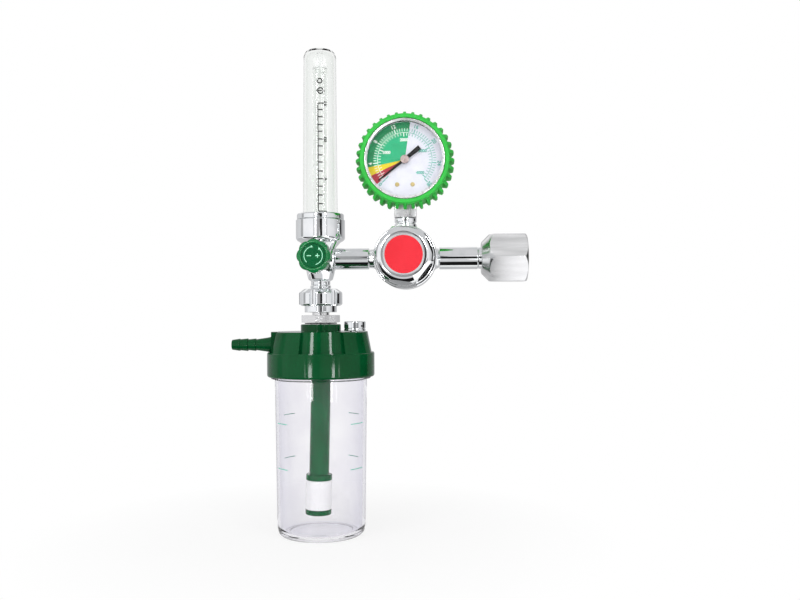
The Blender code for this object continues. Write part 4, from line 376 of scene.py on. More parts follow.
ball_steel = metal_finish("ground steel ball", "c9ccd0", "b4b8bc", 0.08, 0.16, 600)
hub_metal = metal_finish("pinkish hub metal", "c9b6b4", "b09c9a", 0.25, 0.4, 700)
print("metal finishes:", len(bpy.data.materials))

# %% [markdown]
# The lid, the knob and the dip tube are moulded in green plastic. Moulded plastic is glossy with a
# faint ripple, called orange peel, and its colour drifts slightly where the melt cooled. The gauge
# boot is rubber: duller, softer and finely pitted.

# %% Moulded plastics and rubber
def moulded(name, main, darker, rough_low, rough_high, peel=420, peel_strength=0.08, peel_depth=0.03,
            gloss=0.5):
    finish, nodes, links, shader = new_finish(name, rough_high)
    shader.inputs["Specular IOR Level"].default_value = gloss
    drift = grain(nodes, links, 55, 3.0)
    links.new(blend_colours(nodes, links, drift, plain(darker), plain(main)), shader.inputs["Base Color"])
    skin = grain(nodes, links, peel, 2.0)
    links.new(spread(nodes, links, skin, rough_low, rough_high), shader.inputs["Roughness"])
    relief(nodes, links, shader, skin, peel_strength, peel_depth)
    return finish


lid_plastic = moulded("moulded lid green", "055029", "044722", 0.05, 0.1, gloss=0.18)
dip_plastic = moulded("moulded tube green", "0f6238", "0c5730", 0.06, 0.12, gloss=0.3)
knob_plastic = moulded("moulded knob green", "057a3f", "047038", 0.16, 0.26, 500, gloss=0.4)
knob_face_plastic = moulded("knob face green", "006034", "00562d", 0.2, 0.3, 600, gloss=0.12)
boot_rubber = moulded("boot rubber green", "2cc442", "25b43a", 0.45, 0.6, 900, 0.25, 0.05, gloss=0.25)
seal_rubber = moulded("black seal rubber", "26272a", "1b1c1e", 0.45, 0.6, 900, 0.2, 0.04)
white_plastic = moulded("white moulded plastic", "e9e9e6", "e2e2df", 0.3, 0.42, 500)
label_red = moulded("red label film", "ef303d", "ea2a37", 0.3, 0.4, 700, 0.12, 0.02, gloss=0.15)
pointer_black = moulded("black lacquer", "0d0d0f", "080809", 0.28, 0.4, 900, gloss=0.3)

# %% [markdown]
# The diffuser is sintered plastic beads. Its pores are too fine for geometry, so a cell pattern with
# a strong relief and no gloss does the work. The dial is a printed sheet with the tooth of paper.

# %% Porous diffuser and the dial sheet
def porous_finish():
    finish, nodes, links, shader = new_finish("sintered white beads", 0.85)
    beads = nodes.new("ShaderNodeTexVoronoi")
    beads.inputs["Scale"].default_value = 1600
    links.new(object_place(nodes, links), beads.inputs["Vector"])
    pores = beads.outputs["Distance"]
    links.new(blend_colours(nodes, links, pores, plain("ffffff"), plain("efefee"), 0.2, 0.8),
              shader.inputs["Base Color"])
    links.new(spread(nodes, links, pores, 0.75, 0.95, 0.0, 1.0), shader.inputs["Roughness"])
    relief(nodes, links, shader, pores, 0.5, 0.15)
    return finish


def printed(name, main, darker, rough=0.5):
    """Ink or printed sheet: a matt colour that varies a little, with a paper tooth."""
    finish, nodes, links, shader = new_finish(name, rough)
    cloud = grain(nodes, links, 240, 3.0)
    links.new(blend_colours(nodes, links, cloud, plain(darker), plain(main)), shader.inputs["Base Color"])
    tooth = grain(nodes, links, 2600, 2.0)
    links.new(spread(nodes, links, tooth, rough - 0.06, rough + 0.06), shader.inputs["Roughness"])
    relief(nodes, links, shader, tooth, 0.1, 0.01)
    return finish


sintered_beads = porous_finish()
dial_sheet = printed("dial sheet", "ececf6", "e6e6f1")
dial_green = printed("dial green ink", "22bb82", "1db078")
# The deep green is painted shade: it stands for the bezel's shadow along the outer edge of the green zone.
dial_green_painted_bezel_shade = printed("dial green ink with painted bezel shade", "0e965a", "0b8b52")
dial_yellow = printed("dial yellow ink", "f2da18", "e9d015")
dial_red = printed("dial red ink", "c33342", "b72b3a")
dial_teal = printed("dial teal ink", "6fc4b4", "63baaa")
dial_white = printed("dial white ink", "f4fbf6", "ebf5ef")
scale_ink = printed("tube scale ink", "08080a", "050506")
bottle_ink = printed("bottle turquoise ink", "4fd3b4", "45c9aa")
mint_ink = printed("knob mint ink", "a6f2cc", "98eac0")

# %% [markdown]
# The flow tube and the bottle are clear plastic. Clear plastic needs a real wall thickness, an index
# of refraction and full transmission, so that its edges darken and bend what stands behind. A thin
# transparent skin would be quicker, but it would look like film.

# %% Clear plastic
def clear_plastic(name, tint, edge_tint, rough_low, rough_high, refraction, ripple=0.02):
    """Clear plastic, a little darker where the eye looks along the wall."""
    finish, nodes, links, shader = new_finish(name, rough_low)
    shader.inputs["Transmission Weight"].default_value = 1.0
    shader.inputs["IOR"].default_value = refraction
    cloud = grain(nodes, links, 60, 2.0)
    middle = blend_colours(nodes, links, cloud, plain(tint), plain("ffffff"), 0.3, 1.0)
    along = nodes.new("ShaderNodeLayerWeight")
    along.inputs["Blend"].default_value = 0.35
    mix = nodes.new("ShaderNodeMix")
    mix.data_type = "RGBA"
    mix.inputs["B"].default_value = (*plain(edge_tint), 1)
    links.new(along.outputs["Facing"], mix.inputs["Factor"])
    links.new(middle, mix.inputs["A"])
    links.new(mix.outputs["Result"], shader.inputs["Base Color"])
    scuff = grain(nodes, links, 700, 3.0, (1, 1, 0.2))
    links.new(spread(nodes, links, scuff, rough_low, rough_high, 0.45, 0.75), shader.inputs["Roughness"])
    relief(nodes, links, shader, grain(nodes, links, 90, 1.0, (1, 1, 0.25)), ripple, 0.05)
    return finish


clear_tube = clear_plastic("clear acrylic tube", "fafbfa", "dfe3e0", 0.0, 0.04, 1.27)
clear_meter = clear_plastic("clear metering tube", "f4f6f4", "d3d8d5", 0.0, 0.04, 1.3)
clear_window = clear_plastic("clear window", "fdfefe", "f4f6f6", 0.0, 0.02, 1.25)
clear_bottle = clear_plastic("clear bottle plastic", "f6f5f8", "d6d5e2", 0.0, 0.05, 1.3)
print("finishes made:", len(bpy.data.materials))

# %% [markdown]
# ## The inlet
# The inlet nut is cut from hexagon bar. Its corners are turned back at both ends, which leaves the
# curved line that every nut shows. The quickest true way to get that line is to trim a hexagonal bar
# with a turned cone form, as the lathe does.

# %% Inlet nut
nut_low, nut_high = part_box("inlet_nut")
nut_length = (nut_high.x - nut_low.x) / MM
turned_form = spun([(7.2, -nut_length, 0.2), (10.2, -nut_length, 0.4), (15.0, 4.8 - nut_length, 0.6),
                    (17.6, 8.4 - nut_length, 0.2), (17.6, -2.4, 0.2), (15.6, -0.7, 0.8), (14.4, 0, 0.4),
                    (7.2, 0, 0.2)], 128, 5)
nut = trimmed(many_sided(30.0, -nut_length - 1, 1, 6, math.radians(90)), turned_form)
nut = bored(nut, spun([(0, -20), (10.6, -20, 0.2), (10.6, 1), (0, 1)]))
show("inlet_nut_turned", put(nut, "right"), satin_nickel, "inlet_nut", "inlet_nut", edge_round=0.25)
print("inlet nut length:", round(nut_length, 2))

# %% [markdown]
# Behind the nut a short sleeve and a plain chromed tube lead to the regulator. They are simple
# lathe parts, and their life comes from the rounded ends and from what the chrome mirrors.

# %% Inlet nipple and the two tubes
sleeve_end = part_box("inlet_nipple")[0].x / MM + 9.0
nipple = [(2.5, sleeve_end - 9), (4.5, sleeve_end - 9, 0.2), (4.5, sleeve_end), (6.9, sleeve_end, 0.4),
          (6.9, -19.7), (10.0, -19.7, 0.2), (10.0, -16.2, 0.3), (7.8, -16.2), (7.8, -13.0, 0.1),
          (6.5, -13.0), (6.5, -10.8), (7.8, -10.8, 0.1), (7.8, -9.2, 0.4), (5.4, -6.2, 0.4),
          (3.0, -6.2, 0.1), (3.0, -11.5), (2.5, -11.5)]
show("inlet_nipple_turned", put(spun(nipple, 64), "right"), chrome, "inlet_nipple")

SPIGOT = 9.0
low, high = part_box("inlet_tube")
left, right = low.x / MM + SPIGOT, high.x / MM
socket = sleeve_end - 9.3
tube = [(2.5, left - SPIGOT), (4.5, left - SPIGOT, 0.2), (4.5, left), (7.15, left, 0.5), (7.15, right, 0.5),
        (4.8, right), (4.8, socket), (2.5, socket)]
show("inlet_tube_turned", put(spun(tube), "right"), chrome, "inlet_tube")
low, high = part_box("outlet_tube")
left, right = low.x / MM + SPIGOT / 2, high.x / MM - SPIGOT
tube = [(2.5, left - SPIGOT / 2), (4.5, left - SPIGOT / 2, 0.2), (4.5, left), (6.85, left, 0.5),
        (6.85, right, 0.5), (4.5, right), (4.5, right + SPIGOT, 0.2), (2.5, right + SPIGOT)]
show("outlet_tube_turned", put(spun(tube), "right"), chrome, "outlet_tube")
print("the outlet tube shows from", round(left, 1), "to", round(right, 1))

# %% [markdown]
# ## The regulator
# The body is one hot forging, bored afterwards: a drum that faces the reader, with a boss on each
# side and one on top for the gauge. The drum and bosses are turned, joined and bored, and a
# bevel then rounds the lines where they meet, as the forging die does.

# %% Regulator body
drum = spun([(0, -17), (13, -17, 1.2), (16.8, -15.5, 2.0), (19.2, -12.0, 2.0), (20, -8, 3.0),
             (20, 18.5, 0.8), (0, 18.5)], arc=5)
body = on_drum(drum)
right_boss = spun([(0, 6), (9.3, 6), (8.3, 18), (6.6, 19.8, 0.8), (6.3, 21.4, 0.4), (0, 21.4)], 64)
body = joined(body, put(right_boss, "right", regulator_x))
left_boss = spun([(0, -23.4), (5.95, -23.4, 0.4), (6.2, -20.5, 0.6), (8.0, -18), (9.0, -6), (0, -6)], 64)
body = joined(body, put(left_boss, "right", regulator_x))
top_boss = spun([(0, 6), (9, 6), (8.2, 18.6), (7.3, 20.4, 0.6), (7.1, 22.0, 0.2), (6.5, 22.4, 0.1),
                 (6.5, 23.2, 0.1), (7.1, 23.4, 0.2), (7.1, 25.9, 0.4), (0, 25.9)], 64)
body = joined(body, put(top_boss, "up", regulator_x))
body = bored(body, on_drum(ring(0, 14.3, 8, 20, STEPS)))
body = bored(body, on_drum(spun([(0, -19), (6.5, -19), (6.5, 5.5), (1.7, 5.5), (1.7, 9), (0, 9)], 64)))
for facing, low, high in (("right", 12.4, 23), ("right", -25, -14.4), ("up", 16.9, 27)):
    hole = ring(0, 4.8, low, high, 64)
    body = bored(body, put(hole, facing, regulator_x))
show("regulator_body_forged", body, chrome, "regulator_body", edge_round=0.5)

# %% [markdown]
# The bonnet is a hexagon with a flange behind it and a round nose. Three turned surfaces meet the six
# flats, and each meeting line is a curve. Trimming the hexagon with the turned nose gives all of them
# at once.

# %% Bonnet, its red plate and the rear plug
bonnet_turn = math.radians(-8)
nose = spun([(0, 19.8), (18.9, 19.8), (18.9, 40.5, 1.5), (17.0, 44.4, 2.0), (14.4, 46, 0.8), (0, 46)], STEPS,
            4)
bonnet = trimmed(many_sided(32.0, 18.8, 47, 6, bonnet_turn), nose)
flange = spun([(0, 14.7), (14.0, 14.7, 0.3), (14.0, 18.8), (18.5, 18.8, 0.3), (18.5, 22.3, 0.6), (0, 22.3)])
bonnet = joined(bonnet, flange)
room = spun([(0, 13.5), (10.6, 13.5), (10.6, 39.5), (6.3, 39.5), (6.3, 45.2), (11.8, 45.2), (11.8, 47),
             (0, 47)])
bonnet = bored(bonnet, room)
show("bonnet_forged", on_drum(bonnet), chrome, "bonnet", edge_round=0.35)
plate = spun([(0, 45.5), (11.5, 45.5, 0.05), (11.5, 46, 0.15), (0, 46.0)])
show("bonnet_plate_red", on_drum(plate), label_red, "bonnet_label")
plug_form = spun([(0, -22.5), (8.2, -22.5, 0.3), (9.9, -21.5, 0.2), (9.9, -17.3), (6.2, -17.3),
                  (6.2, -9.5, 0.2), (2.3, -9.5), (2.3, -12.3), (0, -12.3)], 64)
plug = trimmed(many_sided(17.0, -23, -9), plug_form)
show("rear_plug_turned", on_drum(plug), chrome, "rear_plug", edge_round=0.2)

# %% [markdown]
# ## The gauge
# The case is a pressed cup with a bezel ring that holds the window. A toothed rubber boot goes round
# it. The boot's front is a smooth ring, and 36 rounded ribs run back from it. A circle that is pushed
# in and out by a wave and extruded gives ribs with soft tips.

# %% Case, bezel and window
cup = [(0, -12), (24.6, -12, 1.2), (25.5, -10.8, 0.8), (25.5, 12.3, 0.2), (24.6, 12.3, 0.2),
       (24.6, -11.1, 0.8), (0, -11.1)]
case = on_gauge(spun(cup))
neck_hole = ring(0, 4.9, -30, -20)
show("gauge_case_pressed", bored(case, put(neck_hole, "up", regulator_x, gauge_z)), chrome, "gauge_case")
bezel = [(24.9, 12.6), (25.5, 12.6, 0.1), (25.5, 16.6, 0.2), (25.1, 16.75, 0.1), (23.8, 16.0, 0.2),
         (23.8, 15.3), (24.9, 15.3)]
show("gauge_bezel_turned", on_gauge(spun(bezel, 128, 4)), bezel_nickel, "gauge_bezel")
pane = [(0, 13.4), (24.6, 13.4, 0.15), (24.6, 15.0, 0.15), (0, 15.0)]
show("gauge_window_pane", on_gauge(spun(pane)), clear_window, "gauge_window")

# %% [markdown]
# The boot is trimmed by a turned form, so that its ribs run out before both ends, and is then joined
# to the smooth sleeve. A slot below lets the shank through.

# %% Rubber boot
def ribbed_sleeve(valley, tip, ribs, low, high):
    """A sleeve with rounded ribs, made from one circle that is pushed in and out."""
    points_each = 12
    bm = bmesh.new()
    bmesh.ops.create_circle(bm, cap_ends=True, radius=valley * MM, segments=ribs * points_each)
    for vert in bm.verts:
        around = math.atan2(vert.co.y, vert.co.x) * ribs
        fullness = min(1.0, max(0.0, 0.12 + 1.25 * math.cos(around)))
        reach = 1 + (tip / valley - 1) * fullness
        vert.co.x *= reach
        vert.co.y *= reach
    grown = bmesh.ops.extrude_face_region(bm, geom=bm.faces[:])["geom"]
    moved(bm, (0, 0, low * MM))
    raised = [item for item in grown if isinstance(item, bmesh.types.BMVert)]
    bmesh.ops.translate(bm, verts=raised, vec=(0, 0, (high - low) * MM))
    bmesh.ops.recalc_face_normals(bm, faces=bm.faces[:])
    return bm


ribs = ribbed_sleeve(27.7, 32.1, 36, -10.5, 13.0)
blunt = spun([(0, -10.5), (29.0, -10.5, 0.4), (31.7, -5.0, 1.0), (31.7, 6.6, 1.0), (28.9, 13.0, 0.4),
              (0, 13.0)], 144, 5)
sleeve = spun([(0, -14.3), (28.5, -14.3, 1.6), (28.5, 16.9, 0.9), (0, 16.9)], 144, 4)
boot = joined(trimmed(ribs, blunt), sleeve)
boot = bored(boot, spun([(0, -16), (19, -16), (19, -12.3), (25.8, -12.3), (25.8, 18), (0, 18)]))
boot = on_gauge(boot)
boot = bored(boot, bar(regulator_x - 7.3, regulator_x + 7.3, -7.3, 13.3, gauge_z - 40, gauge_z - 20))
show("gauge_boot_ribbed", boot, boot_rubber, "gauge_boot", crease=40)

# %% [markdown]
# The shank under the gauge is square for a spanner, with a round block inside the case. Only the
# square can be seen, so a bevelled bar joined to a round neck is enough.

# %% Square shank
shank = bar(-7, 7, -7, 7, 26.2, 36.6)
rims = [edge for edge in shank.edges if abs(edge.verts[0].co.z - edge.verts[1].co.z) > MM]
bmesh.ops.bevel(shank, geom=rims, offset=0.7 * MM, offset_type="OFFSET", segments=3, profile=0.5,
                affect="EDGES", material=-1)
neck_form = spun([(0, 16.9), (4.5, 16.9, 0.2), (4.5, 26.4), (4.6, 26.5), (4.6, 40.8), (0, 40.8)], 48)
shank = joined(shank, neck_form)
shank = joined(shank, bar(-6.9, 6.9, -9.5, 4.0, 39.8, 48.3))
shank = joined(shank, bar(-6.0, 6.0, 0.3, 3.7, 47.3, 53.0))
show("gauge_shank_milled", put(shank, "up", regulator_x), brushed_shank, "gauge_socket", edge_round=0.2)

# %% [markdown]
# ## The dial
# A gauge dial is printed: coloured zones, fine marks and plain numbers. An image would be the usual
# way. Here every zone and mark is a thin closed film of its own just above the sheet, so that
# it stays sharp at any distance. The darker green band along the outer edge of the green zone is
# painted shade, standing for the bezel's shadow.

# %% Dial sheet and zones
ZONE_HEIGHT, RIM_HEIGHT = 10.22, 10.26
sheet = [(1.3, 9.8), (24.3, 9.8, 0.05), (24.3, 10.2, 0.05), (1.3, 10.2)]
show("gauge_dial_sheet", on_gauge(spun(sheet)), dial_sheet, "gauge_dial")


def film(low_radius, high_radius, first, last, height, thickness=0.03):
    """A thin closed sector on the dial between two angles in degrees."""
    corners = [(low_radius, height), (high_radius, height), (high_radius, height + thickness),
               (low_radius, height + thickness)]
    steps = max(2, int(abs(last - first) / 3))
    return spun(corners, steps, turn=math.radians(last - first), start=math.radians(first))


ZONES = (("dial_zone_red", dial_red, 205, 221), ("dial_zone_yellow", dial_yellow, 191.4, 205),
         ("dial_zone_green", dial_green, 81.5, 191.4))
for name, ink, first, last in ZONES:
    show(name, on_gauge(film(2.0, 24.0, first, last, ZONE_HEIGHT)), ink)
# A darker green band along the rim of the green zone is painted shade, standing for the bezel's shadow on the
# dial.
painted_bezel_shade_band = film(19.6, 24.05, 81.5, 191.4, RIM_HEIGHT)
show("dial_painted_bezel_shade", on_gauge(painted_bezel_shade_band), dial_green_painted_bezel_shade)

# %% [markdown]
# The scale runs over 270 degrees from lower left to lower right. Marks lie on two circles, because
# such gauges show two units. Marks over the colours are white, and the others teal.

# %% Dial marks and numbers
INNER_SPAN = 0.985
GREEN_END, RED_END = 81.5, 221
INK_HEIGHT, FIGURE_HEIGHT = 10.3, 10.32


def dial_angle(share):
    return 225 - 270 * share


def mark(angle, near, far, width):
    bm = bar(near, far, -width / 2, width / 2, INK_HEIGHT, INK_HEIGHT + 0.03)
    return swung(bm, math.radians(angle))


def over_colour(angle):
    return GREEN_END < angle < RED_END


white_marks, teal_marks = [], []
for step in range(57):
    angle = dial_angle(step / 56)
    long_mark = step % 8 == 0
    size = (17.6, 20.3, 0.62) if long_mark else (18.1, 20.0, 0.4)
    (white_marks if over_colour(angle) else teal_marks).append(mark(angle, *size))
for step in range(41):
    angle = dial_angle(step * INNER_SPAN / 40)
    long_mark = step % 10 == 0
    size = (14.8, 17.2, 0.62) if long_mark else (15.4, 17.0, 0.38)
    (white_marks if over_colour(angle) else teal_marks).append(mark(angle, *size))
for first, last, target in ((82.5, 220.5, white_marks), (-45, 80.5, teal_marks)):
    target.append(film(17.2, 17.55, first, last, INK_HEIGHT))
show("dial_marks_white", on_gauge(together(*white_marks)), dial_white)
show("dial_marks_teal", on_gauge(together(*teal_marks)), dial_teal)


def lettering(words, size, thickness=0.03, boldness=0.1):
    """Plain figures as a closed mesh, centred on their own middle."""
    curve = bpy.data.curves.new("figures", "FONT")
    curve.body = words
    curve.size = size * MM
    curve.align_x = "CENTER"
    curve.align_y = "CENTER"
    curve.extrude = thickness / 2 * MM
    curve.offset = boldness * MM
    curve.resolution_u = 3
    writer = bpy.data.objects.new("figures", curve)
    bpy.context.scene.collection.objects.link(writer)
    written = bpy.data.meshes.new_from_object(writer.evaluated_get(bpy.context.evaluated_depsgraph_get()))
    bm = bmesh.new()
    bm.from_mesh(written)
    bpy.data.objects.remove(writer)
    bpy.data.curves.remove(curve)
    bpy.data.meshes.remove(written)
    bmesh.ops.remove_doubles(bm, verts=bm.verts[:], dist=1e-7)
    return bm


def placed_round(bm, around, radius):
    return moved(bm, (radius * math.cos(around) * MM, radius * math.sin(around) * MM, FIGURE_HEIGHT * MM))


def dial_number(words, angle, radius, size):
    bm = lettering(words, size)
    around = math.radians(angle)
    swung(bm, around - math.pi / 2)
    return placed_round(bm, around, radius)


white_numbers, teal_numbers = [], []
for count in range(8):
    angle = dial_angle(count / 7)
    group = white_numbers if over_colour(angle) else teal_numbers
    group.append(dial_number(str(count * 4), angle, 21.9, 3.3))
for count in range(1, 5):
    angle = dial_angle(count * INNER_SPAN / 4)
    group = white_numbers if over_colour(angle) else teal_numbers
    reach = 12.6 if count < 4 else 12.9
    group.append(placed_round(lettering(str(count * 1000), 2.6, boldness=0.12), math.radians(angle), reach))
show("dial_numbers_white", on_gauge(together(*white_numbers)), dial_white)
show("dial_numbers_teal", on_gauge(together(*teal_numbers)), dial_teal)

# %% [markdown]
# The pointer is a thin black blade with a broad tail, pressed on the pinion by a round hub. Two bars
# with one end drawn in make the blade and the tail, and a small turned cap makes the bright hub.

# %% Pointer, its cap and the dial screws
def drawn_in(bm, beyond, share):
    """Narrow the end of a bar that lies beyond a distance along x."""
    ends = [vert for vert in bm.verts if abs(vert.co.x) > abs(beyond) * MM and vert.co.x * beyond > 0]
    bmesh.ops.scale(bm, verts=ends, vec=(1, share, 1))
    return bm


blade = drawn_in(bar(0, 21.6, -0.95, 0.95, 11.6, 12.0), 15, 0.42)
tail = drawn_in(bar(-12.2, -1.0, -1.15, 1.15, 11.6, 12.0), -6, 1.35)
hub = spun([(0, 11.2), (2.65, 11.2, 0.1), (2.65, 12.6, 0.1), (0, 12.6)], 64)
pointer = joined(joined(blade, tail), hub)
swung(pointer, math.radians(218.5))
show("pointer_blade", on_gauge(pointer), pointer_black, "pointer", "pointer", edge_round=0.08)
cap = [(0, 12.62), (2.7, 12.62, 0.1), (2.7, 12.95, 0.25), (0.9, 13.1, 0.1), (0.7, 13.0), (0, 13.0)]
show("pointer_cap_turned", on_gauge(spun(cap, 64)), hub_metal, body="pointer")
for name in ("dial_screw_left", "dial_screw_right"):
    low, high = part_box(name)
    head = spun([(0, 6.0), (0.8, 6.0), (0.8, 10.5), (1.4, 10.5, 0.1), (1.3, 11.0, 0.3), (0, 11.1)], 40, 4)
    where = (low + high) / 2 / MM
    show(name + "_turned", put(head, "front", where.x, where.z), screw_brass, name)

# %% [markdown]
# ## The flow column
# The column is a second forging: a wide cup that takes the clear tube, a taper, a boss for the outlet
# tube, a boss for the needle valve and a neck below.

# %% Flow body and collar
column = spun([(0, -16.8), (6.2, -16.8, 0.2), (6.2, -14.2, 0.5), (7.8, -13.6, 1.0), (9.25, -8.4, 2.0),
               (9.25, 6.5, 2.0), (12.9, 10.8, 1.0), (15.0, 11.9, 1.0), (15.85, 13.2, 1.0),
               (15.85, 25.3, 0.4), (0, 25.3)], STEPS, 5)
column = on_column(column)
side_boss = spun([(0, 2), (9.0, 2), (8.6, 7.4, 0.6), (7.6, 8.6, 0.5), (7.5, 9.6, 0.4), (0, 9.6)], 64)
column = joined(column, put(side_boss, "right", flow_x))
valve_boss = spun([(0, 2), (8.0, 2), (8.0, 14.5, 0.9), (0, 14.5)], 64)
column = joined(column, put(valve_boss, "front", flow_x))
cup_room = spun([(0, 10.3), (9.8, 10.3), (9.8, 13.4), (13.4, 13.4), (13.4, 27), (0, 27)])
column = bored(column, on_column(cup_room))
column = bored(column, on_column(ring(0, 4.8, -18, -8)))
column = bored(column, put(ring(0, 4.8, 4.6, 11), "right", flow_x))
column = bored(column, put(ring(0, 4.0, 3.3, 16), "front", flow_x))
show("flow_body_forged", column, chrome, "flow_body", edge_round=0.5)
collar = [(11.55, 19.2), (13.1, 19.2, 0.2), (13.1, 25.6), (15.2, 25.6, 0.4), (15.2, 29.4, 1.1),
          (12.2, 29.4, 0.4), (11.55, 28.8, 0.2)]
show("tube_collar_turned", on_column(spun(collar, 128, 4)), chrome, "tube_collar")

# %% [markdown]
# The outer tube is moulded acrylic with a domed end, and a thinner metering tube with a tapered bore
# stands inside it. Both have real walls. The steel ball floats in the inner one.

# %% Clear tubes and float
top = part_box("outer_tube")[1].z / MM
outer = [(9.35, 16.5), (12.9, 16.5, 0.2), (12.9, 19.0, 0.2), (11.25, 19.0, 0.3), (10.5, top - 5.4, 1.0),
         (9.2, top - 2.5, 1.6), (5.2, top - 1.0, 2.0), (0, top - 0.6), (0, top - 3.2), (1.9, top - 3.2, 0.2),
         (2.2, top - 2.3, 0.3), (4.8, top - 2.5, 1.2), (8.0, top - 4.0, 1.6), (9.0, top - 6.2, 1.0)]
show("outer_tube_moulded", on_column(spun(outer, 128, 6)), clear_tube, "outer_tube", crease=50)
low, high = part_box("metering_tube")
inner = [(3.05, low.z / MM), (4.7, low.z / MM, 0.2), (4.7, high.z / MM, 0.2), (3.4, high.z / MM, 0.1)]
show("metering_tube_drawn", on_column(spun(inner, 96)), clear_meter, "metering_tube", crease=50)
ball = bmesh.new()
bmesh.ops.create_uvsphere(ball, u_segments=48, v_segments=32, radius=2.7 * MM)
centre = middle_of("float_ball")
show("float_ball_ground", put(ball, "up", centre.x, centre.z), ball_steel, "float_ball", "float_ball")

# %% [markdown]
# The scale is printed on the metering tube. Flat marks and figures are made first and then wrapped
# round the tube, which is what the printing roller does. The distance across becomes an angle.

# %% Tube scale
def wrapped(bm, radius, thickness=0.03):
    """Bend a flat drawing in x and z round an upright tube, on the side of the reader."""
    for vert in bm.verts:
        across = vert.co.x / (radius * MM)
        depth = radius * MM + (thickness * MM if vert.co.y < 0 else 0.0)
        vert.co.x = depth * math.sin(across)
        vert.co.y = -depth * math.cos(across)
    bmesh.ops.recalc_face_normals(bm, faces=bm.faces[:])
    return bm


def strip(left, right, low, high):
    """A thin flat strip in x and z that is fine enough to wrap."""
    bm = bar(left, right, -0.01, 0.01, low, high)
    long_edges = [edge for edge in bm.edges if abs(edge.verts[0].co.x - edge.verts[1].co.x) > 0.3 * MM]
    if long_edges:
        bmesh.ops.subdivide_edges(bm, edges=long_edges, cuts=6, use_grid_fill=True)
    return bm


def upright(bm, x, z, turn=0.0):
    """Stand flat figures up, turned in their own plane, at a place in x and z."""
    swung(bm, turn)
    swung(bm, math.pi / 2, "X")
    moved(bm, (x * MM, 0, z * MM))
    return bm


SCALE_Z = (30.7, 35.5, 41.1, 46.8, 51.6, 56.6, 62.4, 67.0, 72.8, 77.3, 82.3, 86.6, 91.7, 96.3, 100.5)
ink_parts = [strip(-1.1, -0.42, SCALE_Z[0], SCALE_Z[-1])]
for number, z in enumerate(SCALE_Z, start=1):
    far = 2.7 if number in (1, 5, 10, 15) else 2.3
    ink_parts.append(strip(-0.6, far, z - 0.4, z + 0.4))
for number in (1, 5, 10, 15):
    ink_parts.append(upright(lettering(str(number), 3.6, 0.02, 0.22), 4.2,
                             SCALE_Z[number - 1] + (0.2 if number > 5 else 0.0), -math.pi / 2))


def flat_ring(outer, inner, x, z):
    bm = ring(inner, outer, -0.01, 0.01, 40)
    return upright(bm, x, z)


ink_parts += [flat_ring(2.25, 1.4, 0.9, 108.6), strip(-2.1, 3.9, 108.25, 108.95),
              flat_ring(1.85, 1.05, 0.4, 115.0)]
scale_print = wrapped(together(*ink_parts), 4.72)
show("tube_scale_print", on_column(scale_print), scale_ink)

# %% [markdown]
# ## The needle valve
# The knob is moulded with eight full lobes for the fingers. A circle pushed in and out gives the
# lobes, and trimming it with a turned form rounds both ends, as the mould does. The front
# is a shallow dish with a printed disc.

# %% Knob and its disc
def lobed_bar(radius, depth, lobes, low, high, points_each=16, fall=1.0):
    bm = bmesh.new()
    bmesh.ops.create_circle(bm, cap_ends=True, radius=radius * MM, segments=lobes * points_each)
    for vert in bm.verts:
        around = math.atan2(vert.co.y, vert.co.x) * lobes / 2
        reach = 1 - depth / radius * (1 - abs(math.cos(around)) ** fall)
        vert.co.x *= reach
        vert.co.y *= reach
    grown = bmesh.ops.extrude_face_region(bm, geom=bm.faces[:])["geom"]
    moved(bm, (0, 0, low * MM))
    raised = [item for item in grown if isinstance(item, bmesh.types.BMVert)]
    bmesh.ops.translate(bm, verts=raised, vec=(0, 0, (high - low) * MM))
    bmesh.ops.recalc_face_normals(bm, faces=bm.faces[:])
    return bm


knob_form = spun([(0, 34.0), (2.3, 34.0), (2.3, 28), (7.3, 28), (7.3, 25), (9.6, 25, 0.3), (10.7, 26.0, 0.4),
                  (10.7, 36.2, 0.8), (9.2, 37.8, 0.6), (8.2, 38.0, 0.3), (7.6, 37.5, 0.1), (7.6, 36.9),
                  (0, 36.9)], 128, 4)
knob = trimmed(lobed_bar(10.45, 1.1, 8, 24.5, 38.5, fall=0.8), knob_form)
show("knob_moulded", put(knob, "front", flow_x), knob_plastic, "knob", "knob", crease=40)
disc = spun([(0, 37.2), (7.3, 37.2, 0.1), (7.3, 37.6, 0.15), (0, 37.6)], 96)
show("knob_disc_face", put(disc, "front", flow_x), knob_face_plastic, "knob_disc", "knob")

# %% [markdown]
# Two arcs with arrowheads and a plus and a minus tell which way opens the valve. They are generic
# marks in mint ink, and they turn with the knob.

# %% Knob marks
def arrowhead(angle, radius, size, way):
    bm = bmesh.new()
    bmesh.ops.create_cone(bm, cap_ends=True, segments=3, radius1=size * MM, radius2=size * MM,
                          depth=0.03 * MM)
    swung(bm, way * math.pi / 2)
    moved(bm, (radius * MM, 0, 37.63 * MM))
    return swung(bm, math.radians(angle))


knob_marks = [film(5.4, 5.85, -75, 45, 37.62), film(5.4, 5.85, 105, 225, 37.62),
              arrowhead(49, 5.62, 0.95, 1), arrowhead(101, 5.62, 0.95, -1)]
for x in (-2.6, 2.6):
    knob_marks.append(bar(x - 1.3, x + 1.3, -0.28, 0.28, 37.62, 37.65))
knob_marks.append(bar(2.32, 2.88, -1.3, 1.3, 37.63, 37.66))
show("knob_marks_print", put(together(*knob_marks), "front", flow_x), mint_ink, body="knob")

# %% [markdown]
# Behind the knob a small hexagonal gland holds the packing of the needle. Only its rim can be seen.

# %% Gland behind the knob
gland_form = spun([(2.3, 9.0), (3.7, 9.0, 0.2), (3.7, 14.8), (7.6, 14.8), (7.6, 20.4, 0.3), (6.3, 21.3, 0.2),
                   (2.3, 21.3, 0.2)], 64)
gland = trimmed(many_sided(13.0, 8, 22), gland_form)
show("valve_gland_turned", put(gland, "front", flow_x), chrome, "valve_gland", edge_round=0.15)

# %% [markdown]
# ## The coupling
# A ring nut with six milled flutes pulls the humidifier up against the column. Below it a satin
# hexagon is screwed into the lid.

